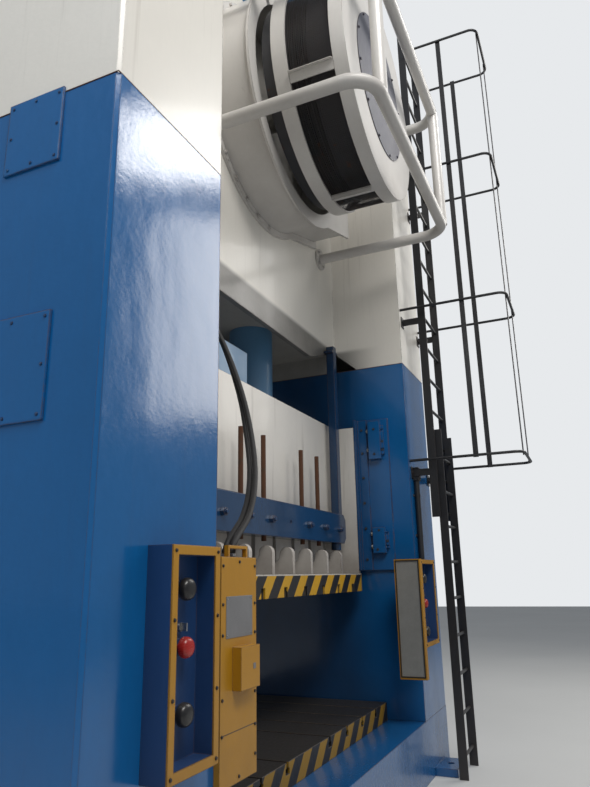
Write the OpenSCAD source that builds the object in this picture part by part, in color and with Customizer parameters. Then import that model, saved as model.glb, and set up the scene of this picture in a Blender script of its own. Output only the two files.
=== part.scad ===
// Straight-side mechanical stamping press, two-point, eccentric gear drive
// Origin: middle of the bed's underside, X across, front at -Y, Z up, millimetres

/* [Frame] */
// Clear width between the uprights
opening_w = 3220; // [2800:10:3600]
// Width of one upright
upright_w = 750; // [650:10:900]
// Depth of the uprights, front to back
frame_d = 2200; // [2000:10:2400]
// Height of the bed above the floor
bed_h = 430; // [350:10:500]
// Height where the crown sits on the uprights
joint_z = 3400; // [3300:10:3500]
// Height of the crown above that joint
crown_h = 2650; // [2550:10:2800]
// Depth of the crown's middle box
crown_d = 900; // [860:10:1000]
// Thickness of the frame's plates
plate_t = 40; // [30:1:50]
// Bevel on the upright's outer corners
corner_bevel = 14; // [5:1:20]
// Rise of the crown's lower corner beside the uprights
haunch_h = 185; // [120:5:220]
// Run of that corner along the front
haunch_w = 610; // [500:10:700]

/* [Bed and bolster] */
// Thickness of the bolster plate
bolster_t = 135; // [110:5:180]
// Depth of the bolster plate
bolster_d = 1600; // [1400:10:1700]
// Gap between the bolster and each upright
bolster_gap = 40; // [20:5:80]
// Pitch of the T-slots, the knock-out bars and their rods
slot_pitch = 320; // [300:5:330]
// Neck width of a T-slot
slot_neck = 28; // [22:1:32]
// Head width of a T-slot
slot_head = 52; // [44:1:60]
// Radius of the scrap hole through the bolster
drop_hole_r = 150; // [100:5:200]
// Thickness of a foot lug
lug_t = 60; // [40:5:80]
// Radius of an anchor hole
anchor_r = 28; // [20:1:36]

/* [Slide] */
// Height of the slide's underside at the top of the stroke
slide_z = 1424; // [1400:1:1460]
// Thickness of the slide's bottom flange
flange_t = 143; // [120:1:160]
// Height of the slide's top
slide_top = 2857; // [2800:1:2900]
// Depth of the slide body
slide_d = 840; // [800:10:860]
// Reach of the flange in front of the slide body
flange_reach = 236; // [180:2:260]
// Gap between the flange's end and the upright
flange_gap = 53; // [35:1:70]
// Gap between the slide body and the upright
slide_gap = 150; // [130:5:170]
// Stroke of the slide
stroke = 200; // [160:10:200]
// Thickness of a knock-out bar
bar_thick = 44; // [30:1:50]
// Height of a knock-out bar inside the slide
bar_h = 80; // [60:5:100]
// Height of a knock-out bar's raised end
lobe_h = 185; // [160:5:200]
// Reach of the bar's end in front of the slide
lobe_reach = 150; // [140:5:170]
// Radius of the end's round top
lobe_r = 48; // [40:1:55]

/* [Knock-out beam] */
// Height of the beam's underside
beam_z = 1812; // [1800:1:1840]
// Height of the beam
beam_h = 240; // [200:5:260]
// Thickness of the beam
beam_t = 110; // [90:1:118]
// Gap between the beam and the slide
beam_gap = 25; // [20:1:40]
// Half length of the beam
beam_half = 1445; // [1420:1:1460]
// Bevel at the beam's ends
beam_bevel = 45; // [20:1:60]
// Radius of a knock-out rod
rod_r = 17; // [12:1:20]
// Height of the rods' tops
rod_top = 2495; // [2400:5:2550]
// Length of a rod below the beam
rod_tail = 30; // [20:5:60]
// Width of the square hanger tube
tube_w = 70; // [50:1:80]

/* [Drive] */
// Place of the flywheel's axis across the press
fly_x = 120; // [100:5:140]
// Height of the flywheel's axis above the crown's joint
fly_up = 1690; // [1680:5:1710]
// Gap between a gear's teeth and the crown's side plate
gear_gap = 34; // [30:1:60]
// Teeth on an eccentric gear
gear_teeth = 88; // [86:2:90]
// Teeth on the pinion
pinion_teeth = 16; // [16:1:17]
// Width of the gear faces
gear_w = 170; // [140:5:180]
// Radius of a fixed gear pin
pin_r = 90; // [80:1:100]
// Radius of an eccentric sheave
sheave_r = 240; // [236:1:250]
// Wall of the strap round the sheave
strap_wall = 65; // [50:1:75]
// Width of a connecting rod along its pin
rod_w = 150; // [120:5:160]
// Half width of the rod's foot
foot_half = 46; // [40:1:48]
// Inner radius of a hollow plunger
plunger_in = 154; // [152:1:160]
// Wall of a plunger
plunger_wall = 30; // [25:1:36]
// Height of the plungers' tops above the crown's joint
plunger_up = 560; // [500:5:580]
// Radius of the drive shaft
shaft_r = 75; // [60:1:80]
// Radial running clearance of shafts and bushes
run_clear = 0.1; // [0.05:0.01:0.1]

/* [Flywheel and guard] */
// Radius of the flywheel
fly_r = 755; // [700:5:770]
// Width of the flywheel's rim
fly_w = 520; // [460:10:540]
// Inner radius of the round guard
guard_r = 815; // [800:5:830]
// Thickness of the guard's rolled strips
guard_t = 14; // [8:1:18]
// Width of the guard's rings
ring_w = 105; // [80:5:120]
// Outer radius of the drum housing
drum_r = 870; // [850:5:880]
// Depth of the drum housing
drum_d = 350; // [320:5:380]
// Radius of the grey disc on the guard's front
disc_r = 530; // [450:5:600]
// Radius of the hole in that disc
disc_hole_r = 140; // [100:5:160]
// Radius of the motor's pulley
pulley_r = 150; // [120:5:180]
// Radius of the motor's body
motor_r = 230; // [200:5:250]

/* [Guard rail] */
// Radius of the guard rail tube
rail_r = 45; // [38:1:50]
// Depth of the lower rail below the flywheel's axis
rail_drop = 660; // [630:5:690]
// Rise of the upper rail above that axis
rail_rise = 460; // [400:10:600]
// Reach of the rails in front of the press's middle
rail_y = 1640; // [1620:5:1700]
// Left arm of the rail
rail_left = 800; // [780:5:830]
// Right arm of the rail
rail_right = 1290; // [1270:5:1310]
// Bend radius of the rail
rail_bend = 190; // [150:5:240]

/* [Controls] */
// Width of a control box
box_w = 310; // [290:5:330]
// Height of a control box
box_h = 740; // [700:5:760]
// Height of a control box's underside
box_z = 925; // [900:5:950]
// Depth of a control box
box_d = 100; // [80:5:120]
// Width of the yellow frame's bars
box_rim = 34; // [26:1:40]
// Width of the right-hand control box
wide_box_w = 460; // [440:5:480]
// Height of that box's underside
wide_box_z = 1000; // [980:5:1010]
// Gap between the left control box and the light-curtain box
left_box_gap = 145; // [100:5:160]
// Radius of a palm button
palm_r = 40; // [34:1:44]
// Radius of the red mushroom
mushroom_r = 36; // [30:1:40]
// Travel of a palm button
palm_travel = 6; // [4:1:8]
// Width of the left light-curtain box
curtain_w = 300; // [280:5:320]
// Depth of the left light-curtain box
curtain_d = 180; // [150:5:200]
// Height of the left light-curtain box
curtain_h = 850; // [800:5:900]
// Height of its underside
curtain_z = 785; // [760:5:820]
// Thickness of the light receiver on the right-hand box
receiver_t = 60; // [40:2:70]
// Depth of the receiver, front to back
receiver_d = 210; // [190:5:230]
// Height of the receiver
receiver_h = 892; // [850:2:900]
// Height of its underside
receiver_z = 777; // [760:1:800]
// Radius of the cable conduit
conduit_r = 24; // [15:1:26]
// Length of the conduit above its box
conduit_h = 690; // [600:10:690]

/* [Ladder] */
// Pitch of the rungs
rung_pitch = 300; // [280:5:320]
// Radius of a rung
rung_r = 13; // [10:1:15]
// Depth of a ladder rail
stile_d = 70; // [60:1:80]
// Thickness of a ladder rail
stile_t = 12; // [8:1:14]
// Distance of the upper ladder from the upright
ladder_off = 150; // [140:5:180]
// Inner width of the upper ladder
ladder_w = 560; // [540:5:600]
// Inner width of the lower ladder
lower_w = 430; // [400:5:440]
// Pitch of the cage hoops
hoop_pitch = 1420; // [1380:5:1440]
// Height of the lowest hoop
hoop_z = 2510; // [2480:5:2560]
// Reach of a hoop in front of the upright
hoop_reach = 955; // [900:5:1000]

/* [Hidden] */
$fn = 48;
half_open = opening_w/2;
half_out = half_open + upright_w;
front_y = -frame_d/2;
crown_y = -crown_d/2;
crown_top = joint_z + crown_h;
upright_x = half_open + upright_w/2;
bolster_top = bed_h + bolster_t;
slots = [-4:4];
// Seat between pieces that only rest beside each other
seat = 0.3;
// Tie rods
tie_r = 80;
tie_y = 760;
tie_gap = 5;
nut_h = 130;
// Foot lugs on the bed
lug_w = 340;
lug_d = 180;
anchor_y = frame_d/2 + lug_d/2;
// Slide
flange_top = slide_z + flange_t;
slide_half = half_open - slide_gap;
flange_half = half_open - flange_gap;
slide_y = -slide_d/2;
flange_y = slide_y - flange_reach;
wing_t = 30;
wing_half = flange_half - 6;
wing_y = -flange_y - 22;
slide_wall = 60;
slot_top = 1905;
slot_w = bar_thick + 6;
// Guides between slide and uprights
gib_y = flange_y;
gib_t = 34;
gib_low = flange_top + 23;
gib_top = slide_top + 43;
gib_strip = 84;
gib_w = 275;
gib_back_t = 20;
gib_run = 0.1;
// Knock-out beam
beam_y = slide_y - beam_gap - beam_t;
beam_mid = beam_y + beam_t/2;
bolt_z = beam_z + 0.46*beam_h;
rod_ks = [-4, -3, -2, -1, 0, 2, 3];
bolt_ks = [-4, -3, -2, -1, 0, 2, 3, 4];
tube_x = beam_half - tube_w/2 - 25;
// Crown's inner room
room_z = joint_z + haunch_h;
floor_t = plate_t;
// Gears: two of them fill the crown's room, less a gap at each end
fly_z = joint_z + fly_up;
point_x = floor((half_open - plate_t - gear_gap)/(2 + 1.84/gear_teeth));
gear_r = point_x;
module_mm = 2*gear_r/gear_teeth;
pinion_r = module_mm*pinion_teeth/2;
mesh_d = gear_r + pinion_r;
mesh_dz = sqrt(pow(mesh_d, 2) - pow(point_x - fly_x, 2));
gear_z = fly_z - mesh_dz;
mesh_a = atan2(mesh_dz, fly_x - point_x);
gear_y = crown_d/2 - plate_t - gear_w - 20;
ecc = stroke/2;
strap_r = sheave_r + strap_wall;
pressure_a = 20;
pinion_y = gear_y - 10;
// Share of the pitch that a tooth fills, the rest is backlash
tooth_fill = 0.47;
// Con rods
foot_z = room_z + 40;
plunger_top = joint_z + plunger_up;
plunger_r = plunger_in + plunger_wall;
plunger_floor = foot_z - 75;
// Flywheel and guard
drum_y = crown_y - drum_d;
fly_back = drum_y - 30;
fly_front = fly_back - fly_w;
guard_back = drum_y - 130;
guard_front = fly_front - 90;
belt_y = fly_back - 330;
belt_n = 4;
belt_pitch = 37;
belt_w = 30;
groove_d = 24;
belt_h = 18;
motor_z = crown_top + 330;
// Direction where the belts leave the flywheel, from level
belt_a = asin((fly_r - pulley_r)/(motor_z - fly_z));
// Guard's opening for the belts, each side of the top
belt_side = 90 - belt_a - acos((fly_r - groove_d + belt_h)/(guard_r - 5)) + 3;
// Guard rail
rail_low = fly_z - rail_drop;
rail_high = fly_z + rail_rise;
post_left = -rail_left + 200;
post_right = rail_right - 130;
// Control boxes
left_box_x = -half_open - left_box_gap - box_w;
wide_box_x = half_open - 240;
wide_box_h = box_z + box_h - wide_box_z;
left_mid = left_box_x + box_w/2;
wide_mid = wide_box_x + wide_box_w/2;
box_y = front_y - box_d;
recess_d = box_d - 25;
palm_high = box_z + 590;
key_z = box_z + 462;
mushroom_z = box_z + 395;
palm_low = box_z + 180;
stem_r = 14;
// Light curtain
curtain_y = front_y - 25;
curtain_x = -half_open;
receiver_x = wide_box_x - receiver_t;
receiver_y = box_y - 10;
window_t = 10;
// Ladder
ladder_y = front_y - ladder_off - stile_d/2;
ladder_low = 2020;
ladder_high = crown_top + 1000;
lower_y = ladder_y - rung_r - seat - stile_d/2;
lower_top = 2790;
hoop_r = 12;
hoop_left = half_open + 45;
hoop_right = half_out - 35;
ladder_x = (hoop_left + hoop_right)/2 + 8;
hoop_n = 4;
hoop_y = front_y - hoop_reach;
bar_t = 8;
bar_w = 44;
// Hoses: from the crown's underside to the left light-curtain box
hose_r = 15;
hose_start = [-640, crown_y + 20, joint_z - 16.2];
hose_end = [curtain_x + 170, curtain_y + 50, curtain_z + curtain_h + 2.4];
// Shape of the route: share of the way in X, Y and Z at each point
hose_steps = [
  [0, 0, 0], [0, 0.0155, 0.0886], [0.0063, 0.1008, 0.1744], [0.0187, 0.2248, 0.2659],
  [0.0375, 0.3488, 0.3688], [0.0625, 0.4651, 0.4831], [0.1187, 0.5736, 0.6089],
  [0.2375, 0.6822, 0.7233], [0.425, 0.7907, 0.8205], [0.6375, 0.8837, 0.8891],
  [0.825, 0.9535, 0.9291], [0.95, 0.9922, 0.9577], [0.9938, 1, 0.9806], [1, 1, 1]
];
hose_a = [for (f = hose_steps) [for (i = [0:2]) hose_start[i] + f[i]*(hose_end[i] - hose_start[i])]];
// The second hose starts beside the first and ends behind it
hose_b = [for (i = [0:len(hose_a) - 1])
  let (t = min(1, i/6)) hose_a[i] + 38*[1 - 0.7*t, t, 0]];

// Helpers

module block(lo, hi) translate(lo) cube(hi - lo);

// Cylinder that starts at p and runs towards the back
module rod_y(p, r, len) translate(p) rotate([-90, 0, 0]) cylinder(r = r, h = len);

// Cylinder that starts at p and runs to the right
module rod_x(p, r, len) translate(p) rotate([0, 90, 0]) cylinder(r = r, h = len);

// Profile in X and Z, extruded towards the back from y
module slab_y(y, len) translate([0, y + len, 0]) rotate([90, 0, 0]) linear_extrude(len) children();

module both_sides() {
  children();
  mirror([1, 0, 0]) children();
}

module front_and_back() {
  children();
  mirror([0, 1, 0]) children();
}

module four_corners() both_sides() front_and_back() children();

// Outline of an upright with bevelled corners
module upright_outline() {
  w = upright_w;
  d = frame_d;
  b = corner_bevel;
  polygon([
    [0, 0], [w - b, 0], [w, b], [w, d - b], [w - b, d], [0, d]
  ]);
}

// Bed and bolster

module bed() color("royalblue") difference() {
  block([-half_out, front_y, 0], [half_out, -front_y, bed_h]);
  bed_pockets();
  four_corners() translate([upright_x, tie_y, -1]) cylinder(r = tie_r + tie_gap, h = bed_h + 2);
  four_corners() translate([upright_x, tie_y, -1]) cylinder(r = tie_r*1.9, h = nut_h + 21);
  translate([0, 0, plate_t]) cylinder(r = drop_hole_r + 60, h = bed_h);
}

module foot_lugs() color("royalblue") four_corners() difference() {
  block([upright_x - lug_w/2, frame_d/2, 0], [upright_x + lug_w/2, frame_d/2 + lug_d, lug_t]);
  translate([upright_x, anchor_y, -1]) cylinder(r = anchor_r, h = lug_t + 2);
}

// Rooms under the bed's table, with ribs between them
module bed_pockets() {
  pocket_w = (2*half_open - 3*plate_t - 2*(drop_hole_r + 60))/2;
  both_sides() front_and_back() block(
    [drop_hole_r + 60 + plate_t, plate_t, -1],
    [drop_hole_r + 60 + plate_t + pocket_w/2, -front_y - 2*plate_t, bed_h - 2*plate_t]
  );
}

// T-slot along Y: head low, neck high, opening upwards
module tee_slot(depth, len) {
  translate([-slot_neck/2, -len/2, -depth]) cube([slot_neck, len, depth + 1]);
  translate([-slot_head/2, -len/2, -depth]) cube([slot_head, len, depth*0.5]);
}

module bolster_plate() color("dimgray") difference() {
  block(
    [-half_open + bolster_gap, -bolster_d/2, bed_h],
    [half_open - bolster_gap, bolster_d/2, bolster_top]
  );
  for (k = slots) if (k != 0) translate([k*slot_pitch, 0, bolster_top]) tee_slot(62, bolster_d + 2);
  translate([0, 0, bed_h - 1]) cylinder(r = drop_hole_r, h = bolster_t + 2);
}

// Uprights and crown

module upright_shell() difference() {
  translate([half_open, front_y, bed_h]) linear_extrude(joint_z - bed_h) upright_outline();
  for (y = [front_y + plate_t, plate_t/2]) block(
    [half_open + plate_t, y, bed_h - 1],
    [half_out - plate_t, y + frame_d/2 - 1.5*plate_t, joint_z + 1]
  );
  for (c = cover_list) block(
    [half_out - plate_t - 1, c[0] + 45, c[1] + 45],
    [half_out + 1, c[0] + c[2] - 45, min(c[1] + c[3], joint_z) - 25]
  );
}

// Covers on an upright's outer side: front edge y, height z, width and height
cover_list = [[-840, 3093, 282, 327], [-868, 2074, 360, 400]];

module right_upright() color("royalblue") upright_shell();

module left_upright() color("royalblue") mirror([1, 0, 0]) upright_shell();

module side_covers() color("royalblue") both_sides() for (c = cover_list) {
  block([half_out, c[0], c[1]], [half_out + 10, c[0] + c[2], c[1] + c[3]]);
}

// Front view of the crown's middle box, with its lower corners cut back
module crown_face() polygon([
  [-half_open, crown_top], [-half_open, room_z], [-half_open + haunch_w, joint_z - 15],
  [half_open - haunch_w, joint_z - 15], [half_open, room_z], [half_open, crown_top]
]);

module crown() color("ivory") difference() {
  slab_y(crown_y, crown_d) crown_face();
  block(
    [-half_open + plate_t, crown_y + plate_t, room_z + floor_t],
    [half_open - plate_t, -crown_y - plate_t, crown_top - plate_t]
  );
  block([-half_open - 1, crown_y + plate_t, joint_z - 20], [half_open + 1, -crown_y - plate_t, room_z]);
  both_sides() translate([point_x, 0, room_z - 1]) cylinder(r = plunger_r + run_clear, h = floor_t + 2);
  both_sides() rod_y([point_x, crown_y - 1, gear_z], pin_r + run_clear, crown_d + 2);
  rod_y([fly_x, crown_y - 1, fly_z], shaft_r + run_clear, crown_d + 2);
}

// Tower of the crown above an upright
module crown_tower() difference() {
  translate([half_open, front_y, joint_z]) linear_extrude(crown_h) upright_outline();
  for (y = [front_y + plate_t, plate_t/2]) block(
    [half_open + plate_t, y, joint_z - 1],
    [half_out - plate_t, y + frame_d/2 - 1.5*plate_t, crown_top - plate_t]
  );
  front_and_back() crown_corner_cut();
  front_and_back() translate([upright_x, tie_y, joint_z]) cylinder(r = tie_r + tie_gap, h = crown_h + 1);
}

module crown_towers() color("ivory") both_sides() crown_tower();

// Slanted notch in the inner side plate, where the crown's front meets it
module crown_corner_cut() translate([half_open - 1, 0, 0]) rotate([90, 0, 90])
  linear_extrude(plate_t + 2) polygon([
    [-crown_y - 1, room_z], [-crown_y + 215, joint_z - 1], [-crown_y - 1, joint_z - 1]
  ]);

module tie_rods() color("dimgray") four_corners() translate([upright_x, tie_y, 20]) {
  cylinder(r = tie_r, h = crown_top + nut_h + 20);
}

module tie_rod_nuts() color("dimgray") four_corners() {
  translate([upright_x, tie_y, crown_top]) tie_nut();
  translate([upright_x, tie_y, 20]) tie_nut();
}

module tie_nut() difference() {
  cylinder(r = tie_r*1.7, h = nut_h, $fn = 6);
  translate([0, 0, -1]) cylinder(r = tie_r + seat, h = nut_h + 2);
}

// Slide guides on the uprights

module gib_plates() color("steelblue") four_corners() {
  x = half_open;
  block([x - gib_t, -gib_y, gib_low], [x, -gib_y + gib_strip, gib_top]);
  block([x - gib_back_t, -gib_y + gib_strip - 1, gib_low], [x, -gib_y + gib_w, gib_top]);
  block([wing_half - wing_t, wing_y + gib_run, gib_low], [x, -gib_y + 1, gib_top]);
}

// Lower end and height of the adjusting blocks
block_list = [[1730, 215], [2536, 342]];

module gib_blocks() color("steelblue") four_corners() for (b = block_list) difference() {
  union() {
    block([half_open - 66, -gib_y + 104, b[0]], [half_open - gib_back_t, -gib_y + 216, b[0] + b[1]]);
    block([half_open - 46, -gib_y + 216, b[0] + 40], [half_open - gib_back_t, -gib_y + 240, b[0] + b[1] - 40]);
  }
  for (s = screw_steps(b)) rod_y([half_open - 44, -gib_y, s], 10 + run_clear, 240);
}

function screw_steps(b) = [for (i = [0:1]) b[0] + b[1]*(0.25 + 0.5*i)];

module gib_screws() color("silver") four_corners() for (b = block_list) for (s = screw_steps(b)) {
  rod_y([half_open - 44, -gib_y + 84, s], 10, 130);
  rod_y([half_open - 44, -gib_y + 88, s], 17, 16, $fn = 6);
}

// Slide

module slide_body() color("ivory") difference() {
  union() {
    block([-slide_half, slide_y, flange_top], [slide_half, -slide_y, slide_top]);
    four_corners() slide_wing();
  }
  block(
    [-slide_half + slide_wall, slide_y + slide_wall, flange_top - 1],
    [slide_half - slide_wall, -slide_y - slide_wall, slide_top - slide_wall]
  );
  for (k = slots) block(
    [k*slot_pitch - slot_w/2, slide_y - 1, flange_top - 1],
    [k*slot_pitch + slot_w/2, -slide_y + 1, slot_top]
  );
}

// Guide wing at a corner of the slide: an angle of two plates
module slide_wing() {
  block([slide_half - 1, -slide_y - wing_t, flange_top], [wing_half, -slide_y, slide_top]);
  block([wing_half - wing_t, -slide_y - wing_t, flange_top], [wing_half, wing_y, slide_top - 25]);
}

module slide_plate() color("gold") difference() {
  linear_round_plate();
  for (k = slots) translate([k*slot_pitch, 0, slide_z]) mirror([0, 0, 1]) {
    tee_slot(62, -2*flange_y + 2);
  }
  for (k = slots) front_and_back() block(
    [k*slot_pitch - slot_head/2, -flange_y - 70, slide_z - 1],
    [k*slot_pitch + slot_head/2, -flange_y + 1, slide_z + 62]
  );
}

// Bottom plate with rounded corners
module linear_round_plate() {
  c = 60;
  h = flange_half;
  d = -flange_y;
  translate([0, 0, slide_z]) linear_extrude(flange_t) union() {
    square([2*h - 2*c, 2*d], center = true);
    square([2*h, 2*d - 2*c], center = true);
    four_corners() translate([h - c, d - c]) circle(r = c);
  }
}

// Side view of a knock-out bar's front half, Y to the front and Z up
module bar_outline() {
  reach = -slide_y + lobe_reach;
  inner = reach - 2*lobe_r;
  cove = min(lobe_h - lobe_r - bar_h, inner + slide_y - seat);
  square([reach, bar_h]);
  translate([inner, 0]) square([2*lobe_r, lobe_h - lobe_r]);
  translate([reach - lobe_r, lobe_h - lobe_r]) circle(r = lobe_r);
  difference() {
    translate([inner - cove, bar_h - 1]) square([cove + 1, cove + 1]);
    translate([inner - cove, bar_h + cove]) circle(r = cove);
  }
}

module knockout_bars() color("ivory") for (k = slots) front_and_back() {
  translate([k*slot_pitch - bar_thick/2, 0, flange_top]) rotate([90, 0, 90]) {
    linear_extrude(bar_thick) bar_outline();
  }
}

module adjuster_plate() color("lightsteelblue") block(
  [-400, -300, slide_top], [136, -270, slide_top + 310]
);

module adjuster_housing() color("steelblue") {
  difference() {
    rod_y([-380, slide_y + 20, slide_top + 15], 200, 100);
    block([-600, slide_y, slide_top - 200], [-160, -slide_y, slide_top]);
  }
  translate([-380, -60, slide_top]) cylinder(r = 130, h = 180);
  block([-420, -270, slide_top], [-340, -60, slide_top + 150]);
}

module plunger() translate([point_x, 0, 0]) difference() {
  union() {
    translate([0, 0, slide_top]) cylinder(r = plunger_r, h = plunger_top - slide_top);
    translate([0, 0, slide_top]) cylinder(r = plunger_r + 60, h = 55);
  }
  translate([0, 0, plunger_floor]) cylinder(r = plunger_in, h = plunger_top - plunger_floor + 1);
  for (a = [0:45:315]) rotate(a + 22.5) translate([plunger_r + 32, 0, slide_top - 1]) cylinder(r = 13, h = 57);
}

module right_plunger() color("steelblue") plunger();

module left_plunger() color("steelblue") mirror([1, 0, 0]) plunger();

// Knock-out beam in front of the slide

module knockout_beam() color("steelblue") difference() {
  slab_y(beam_y, beam_t) beam_face();
  for (k = rod_ks) translate([k*slot_pitch, beam_mid, beam_z - 1]) cylinder(r = rod_r + run_clear, h = beam_h + 2);
  for (k = slots) rod_y([k*slot_pitch, beam_y - 1, bolt_z], 12 + run_clear, beam_t/2 - rod_r);
}

module beam_face() {
  h = beam_half;
  b = beam_bevel;
  z0 = beam_z;
  z1 = beam_z + beam_h;
  polygon([
    [-h + b, z0], [h - b, z0], [h, z0 + b], [h, z1 - b], [h - b, z1], [-h + b, z1], [-h, z1 - b],
    [-h, z0 + b]
  ]);
}

module knockout_rods() color("sienna") for (k = rod_ks) {
  translate([k*slot_pitch, beam_mid, beam_z - rod_tail]) cylinder(r = rod_r, h = rod_top - beam_z + rod_tail);
}

module clamp_bolts() color("midnightblue") for (k = bolt_ks) translate([k*slot_pitch, beam_y, bolt_z]) {
  rod_y([0, -26, 0], 27, 26, $fn = 6);
  rod_y([0, -40, 0], 15, 14);
  rod_y([0, -1, 0], 12, beam_t/2 - rod_r - 1);
}

module hanger_tubes() color("steelblue") both_sides() {
  difference() {
    block(
      [tube_x - tube_w/2, beam_mid - tube_w/2, beam_z + beam_h],
      [tube_x + tube_w/2, beam_mid + tube_w/2, room_z - 12]
    );
    block(
      [tube_x - tube_w/2 + 6, beam_mid - tube_w/2 + 6, beam_z + beam_h + 20],
      [tube_x + tube_w/2 - 6, beam_mid + tube_w/2 - 6, room_z - 30]
    );
  }
  block([tube_x - 60, beam_mid - tube_w/2, joint_z + 110], [tube_x + 60, crown_y - seat, joint_z + 130]);
  translate([tube_x - 40, beam_mid, beam_z - 55]) cylinder(r = 42, h = 55);
}

// Drive in the crown

// Point of an involute that starts on radius b, at roll angle t in degrees
function involute(b, t) = b*[cos(t) + t*PI/180*sin(t), sin(t) - t*PI/180*cos(t)];

function turn(p, a) = [p[0]*cos(a) - p[1]*sin(a), p[0]*sin(a) + p[1]*cos(a)];

// One gear tooth's points, centred on angle a
function tooth(n, a) =
  let (
    r = module_mm*n/2,
    base = r*cos(pressure_a),
    tip = r + 0.92*module_mm,
    root = r - 1.2*module_mm,
    t_pitch = tan(pressure_a)*180/PI,
    t_tip = sqrt(pow(tip/base, 2) - 1)*180/PI,
    half = tooth_fill*180/n,
    skew = t_pitch - pressure_a,
    t_root = root > base ? sqrt(pow(root/base, 2) - 1)*180/PI : 0,
    rolls = [t_root, (t_root + t_pitch)/2, t_pitch, (t_pitch + t_tip)/2, t_tip],
    flank = [for (t = rolls) turn(involute(base, t), -skew - half)],
    foot = [root*cos(half + skew), -root*sin(half + skew)],
    low = root < base ? concat([foot], flank) : flank,
    high = [for (i = [len(low) - 1:-1:0]) [low[i][0], -low[i][1]]]
  )
  [for (p = concat(low, high)) turn(p, a)];

module gear_outline(n, phase) polygon([
  for (i = [0:n - 1]) each tooth(n, phase + i*360/n)
]);

// Where the follower's tooth must stand to mesh with the leader
function mesh_phase(n_lead, phase_lead, n_follow, a) =
  let (f = (a - phase_lead)*n_lead/360) a + 180 - (0.5 - f)*360/n_follow;

// Gears are drawn in X and Z, seen from the front
module place_y(x, z, y) translate([x, y, z]) rotate([90, 0, 0]) mirror([0, 0, 1]) children();

module eccentric_gear(phase) difference() {
  union() {
    translate([0, 0, gear_y]) linear_extrude(gear_w) gear_outline(gear_teeth, phase);
    translate([0, ecc, -rod_w/2 - 15]) cylinder(r = sheave_r, h = gear_y + rod_w/2 + 16, $fn = 96);
    translate([0, 0, gear_y]) cylinder(r = sheave_r, h = gear_w + 15, $fn = 96);
  }
  translate([0, 0, -rod_w]) cylinder(r = pin_r + run_clear, h = gear_y + gear_w + 2*rod_w);
  for (side = [0, 1]) translate([0, 0, side*(gear_w + 41) + gear_y - 41]) difference() {
    cylinder(r = gear_r - 95, h = 81);
    translate([0, ecc, 0]) cylinder(r = sheave_r + (side == 0 ? 0 : -1), h = 200, $fn = 96);
    cylinder(r = sheave_r + ecc + 10, h = 200);
  }
  for (a = [30:60:330]) rotate(a) translate([(gear_r + sheave_r + ecc)/2 - 20, 0, gear_y - 1]) {
    cylinder(r = 85, h = gear_w + 2);
  }
}

right_phase = 0;
left_phase = mesh_phase(gear_teeth, right_phase, gear_teeth, 180);

module right_gear() color("slategray") place_y(point_x, gear_z, 0) eccentric_gear(right_phase);

module left_gear() color("slategray") place_y(-point_x, gear_z, 0) eccentric_gear(left_phase);

module pinion() color("gray") place_y(fly_x, fly_z, 0) difference() {
  translate([0, 0, pinion_y]) linear_extrude(gear_w + 20) {
    gear_outline(pinion_teeth, mesh_phase(gear_teeth, right_phase, pinion_teeth, mesh_a));
  }
  translate([0, 0, pinion_y - 1]) cylinder(r = shaft_r, h = gear_w + 22);
}

module gear_pins() color("silver") both_sides() {
  rod_y([point_x, crown_y + 2, gear_z], pin_r, crown_d - 2);
  rod_y([point_x, -crown_y, gear_z], pin_r + 40, 26);
}

module con_rod() {
  difference() {
    union() {
      rod_y([point_x, -rod_w/2, gear_z + ecc], strap_r, rod_w, $fn = 96);
      translate([point_x, rod_w/2, 0]) rotate([90, 0, 0]) linear_extrude(rod_w) rod_shank();
      rod_y([point_x, -foot_half, foot_z + foot_half], foot_half, 2*foot_half);
    }
    rod_y([point_x, -rod_w, gear_z + ecc], sheave_r + run_clear, 2*rod_w, $fn = 96);
    front_and_back() block(
      [point_x - 120, foot_half, foot_z - 1], [point_x + 120, rod_w, plunger_top + 70]
    );
    rod_y([point_x, -rod_w, foot_z + foot_half], 24, 2*rod_w);
  }
}

module rod_shank() polygon([
  [-foot_half, foot_z + foot_half], [foot_half, foot_z + foot_half], [foot_half, plunger_top + 40],
  [strap_r*0.7, gear_z + ecc - strap_r*0.7], [-strap_r*0.7, gear_z + ecc - strap_r*0.7],
  [-foot_half, plunger_top + 40]
]);

module right_con_rod() color("darkgray") con_rod();

module left_con_rod() color("darkgray") mirror([1, 0, 0]) con_rod();

module drive_shaft() color("silver") {
  rod_y([fly_x, guard_front + 25, fly_z], shaft_r, crown_d/2 - guard_front - 25 + 20);
}

module clutch_disc() color("gray") difference() {
  rod_y([fly_x, fly_front - 60, fly_z], fly_r*0.437, 55);
  rod_y([fly_x, fly_front - 61, fly_z], shaft_r, 57);
  for (a = [0:45:315]) translate([fly_x, 0, fly_z]) rotate([0, a, 0]) {
    rod_y([fly_r*0.344, fly_front - 61, 0], fly_r*0.029, 57);
  }
}

// Flywheel: rim, web with holes, and hub
module flywheel() color("black") translate([fly_x, 0, fly_z]) difference() {
  union() {
    rod_y([0, fly_front, 0], fly_r, fly_w, $fn = 96);
  }
  for (y = [fly_front - 1, fly_back - 150]) difference() {
    rod_y([0, y, 0], fly_r - 95, 151, $fn = 96);
    rod_y([0, y - 1, 0], 220, 155);
  }
  rod_y([0, fly_front - 1, 0], shaft_r + run_clear, fly_w + 2);
  for (a = [0:60:300]) rotate([0, a, 0]) rod_y([430, fly_front - 1, 0], 95, fly_w + 2);
  for (i = [0:belt_n - 1]) belt_groove(fly_r, belt_y + i*belt_pitch);
}

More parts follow.
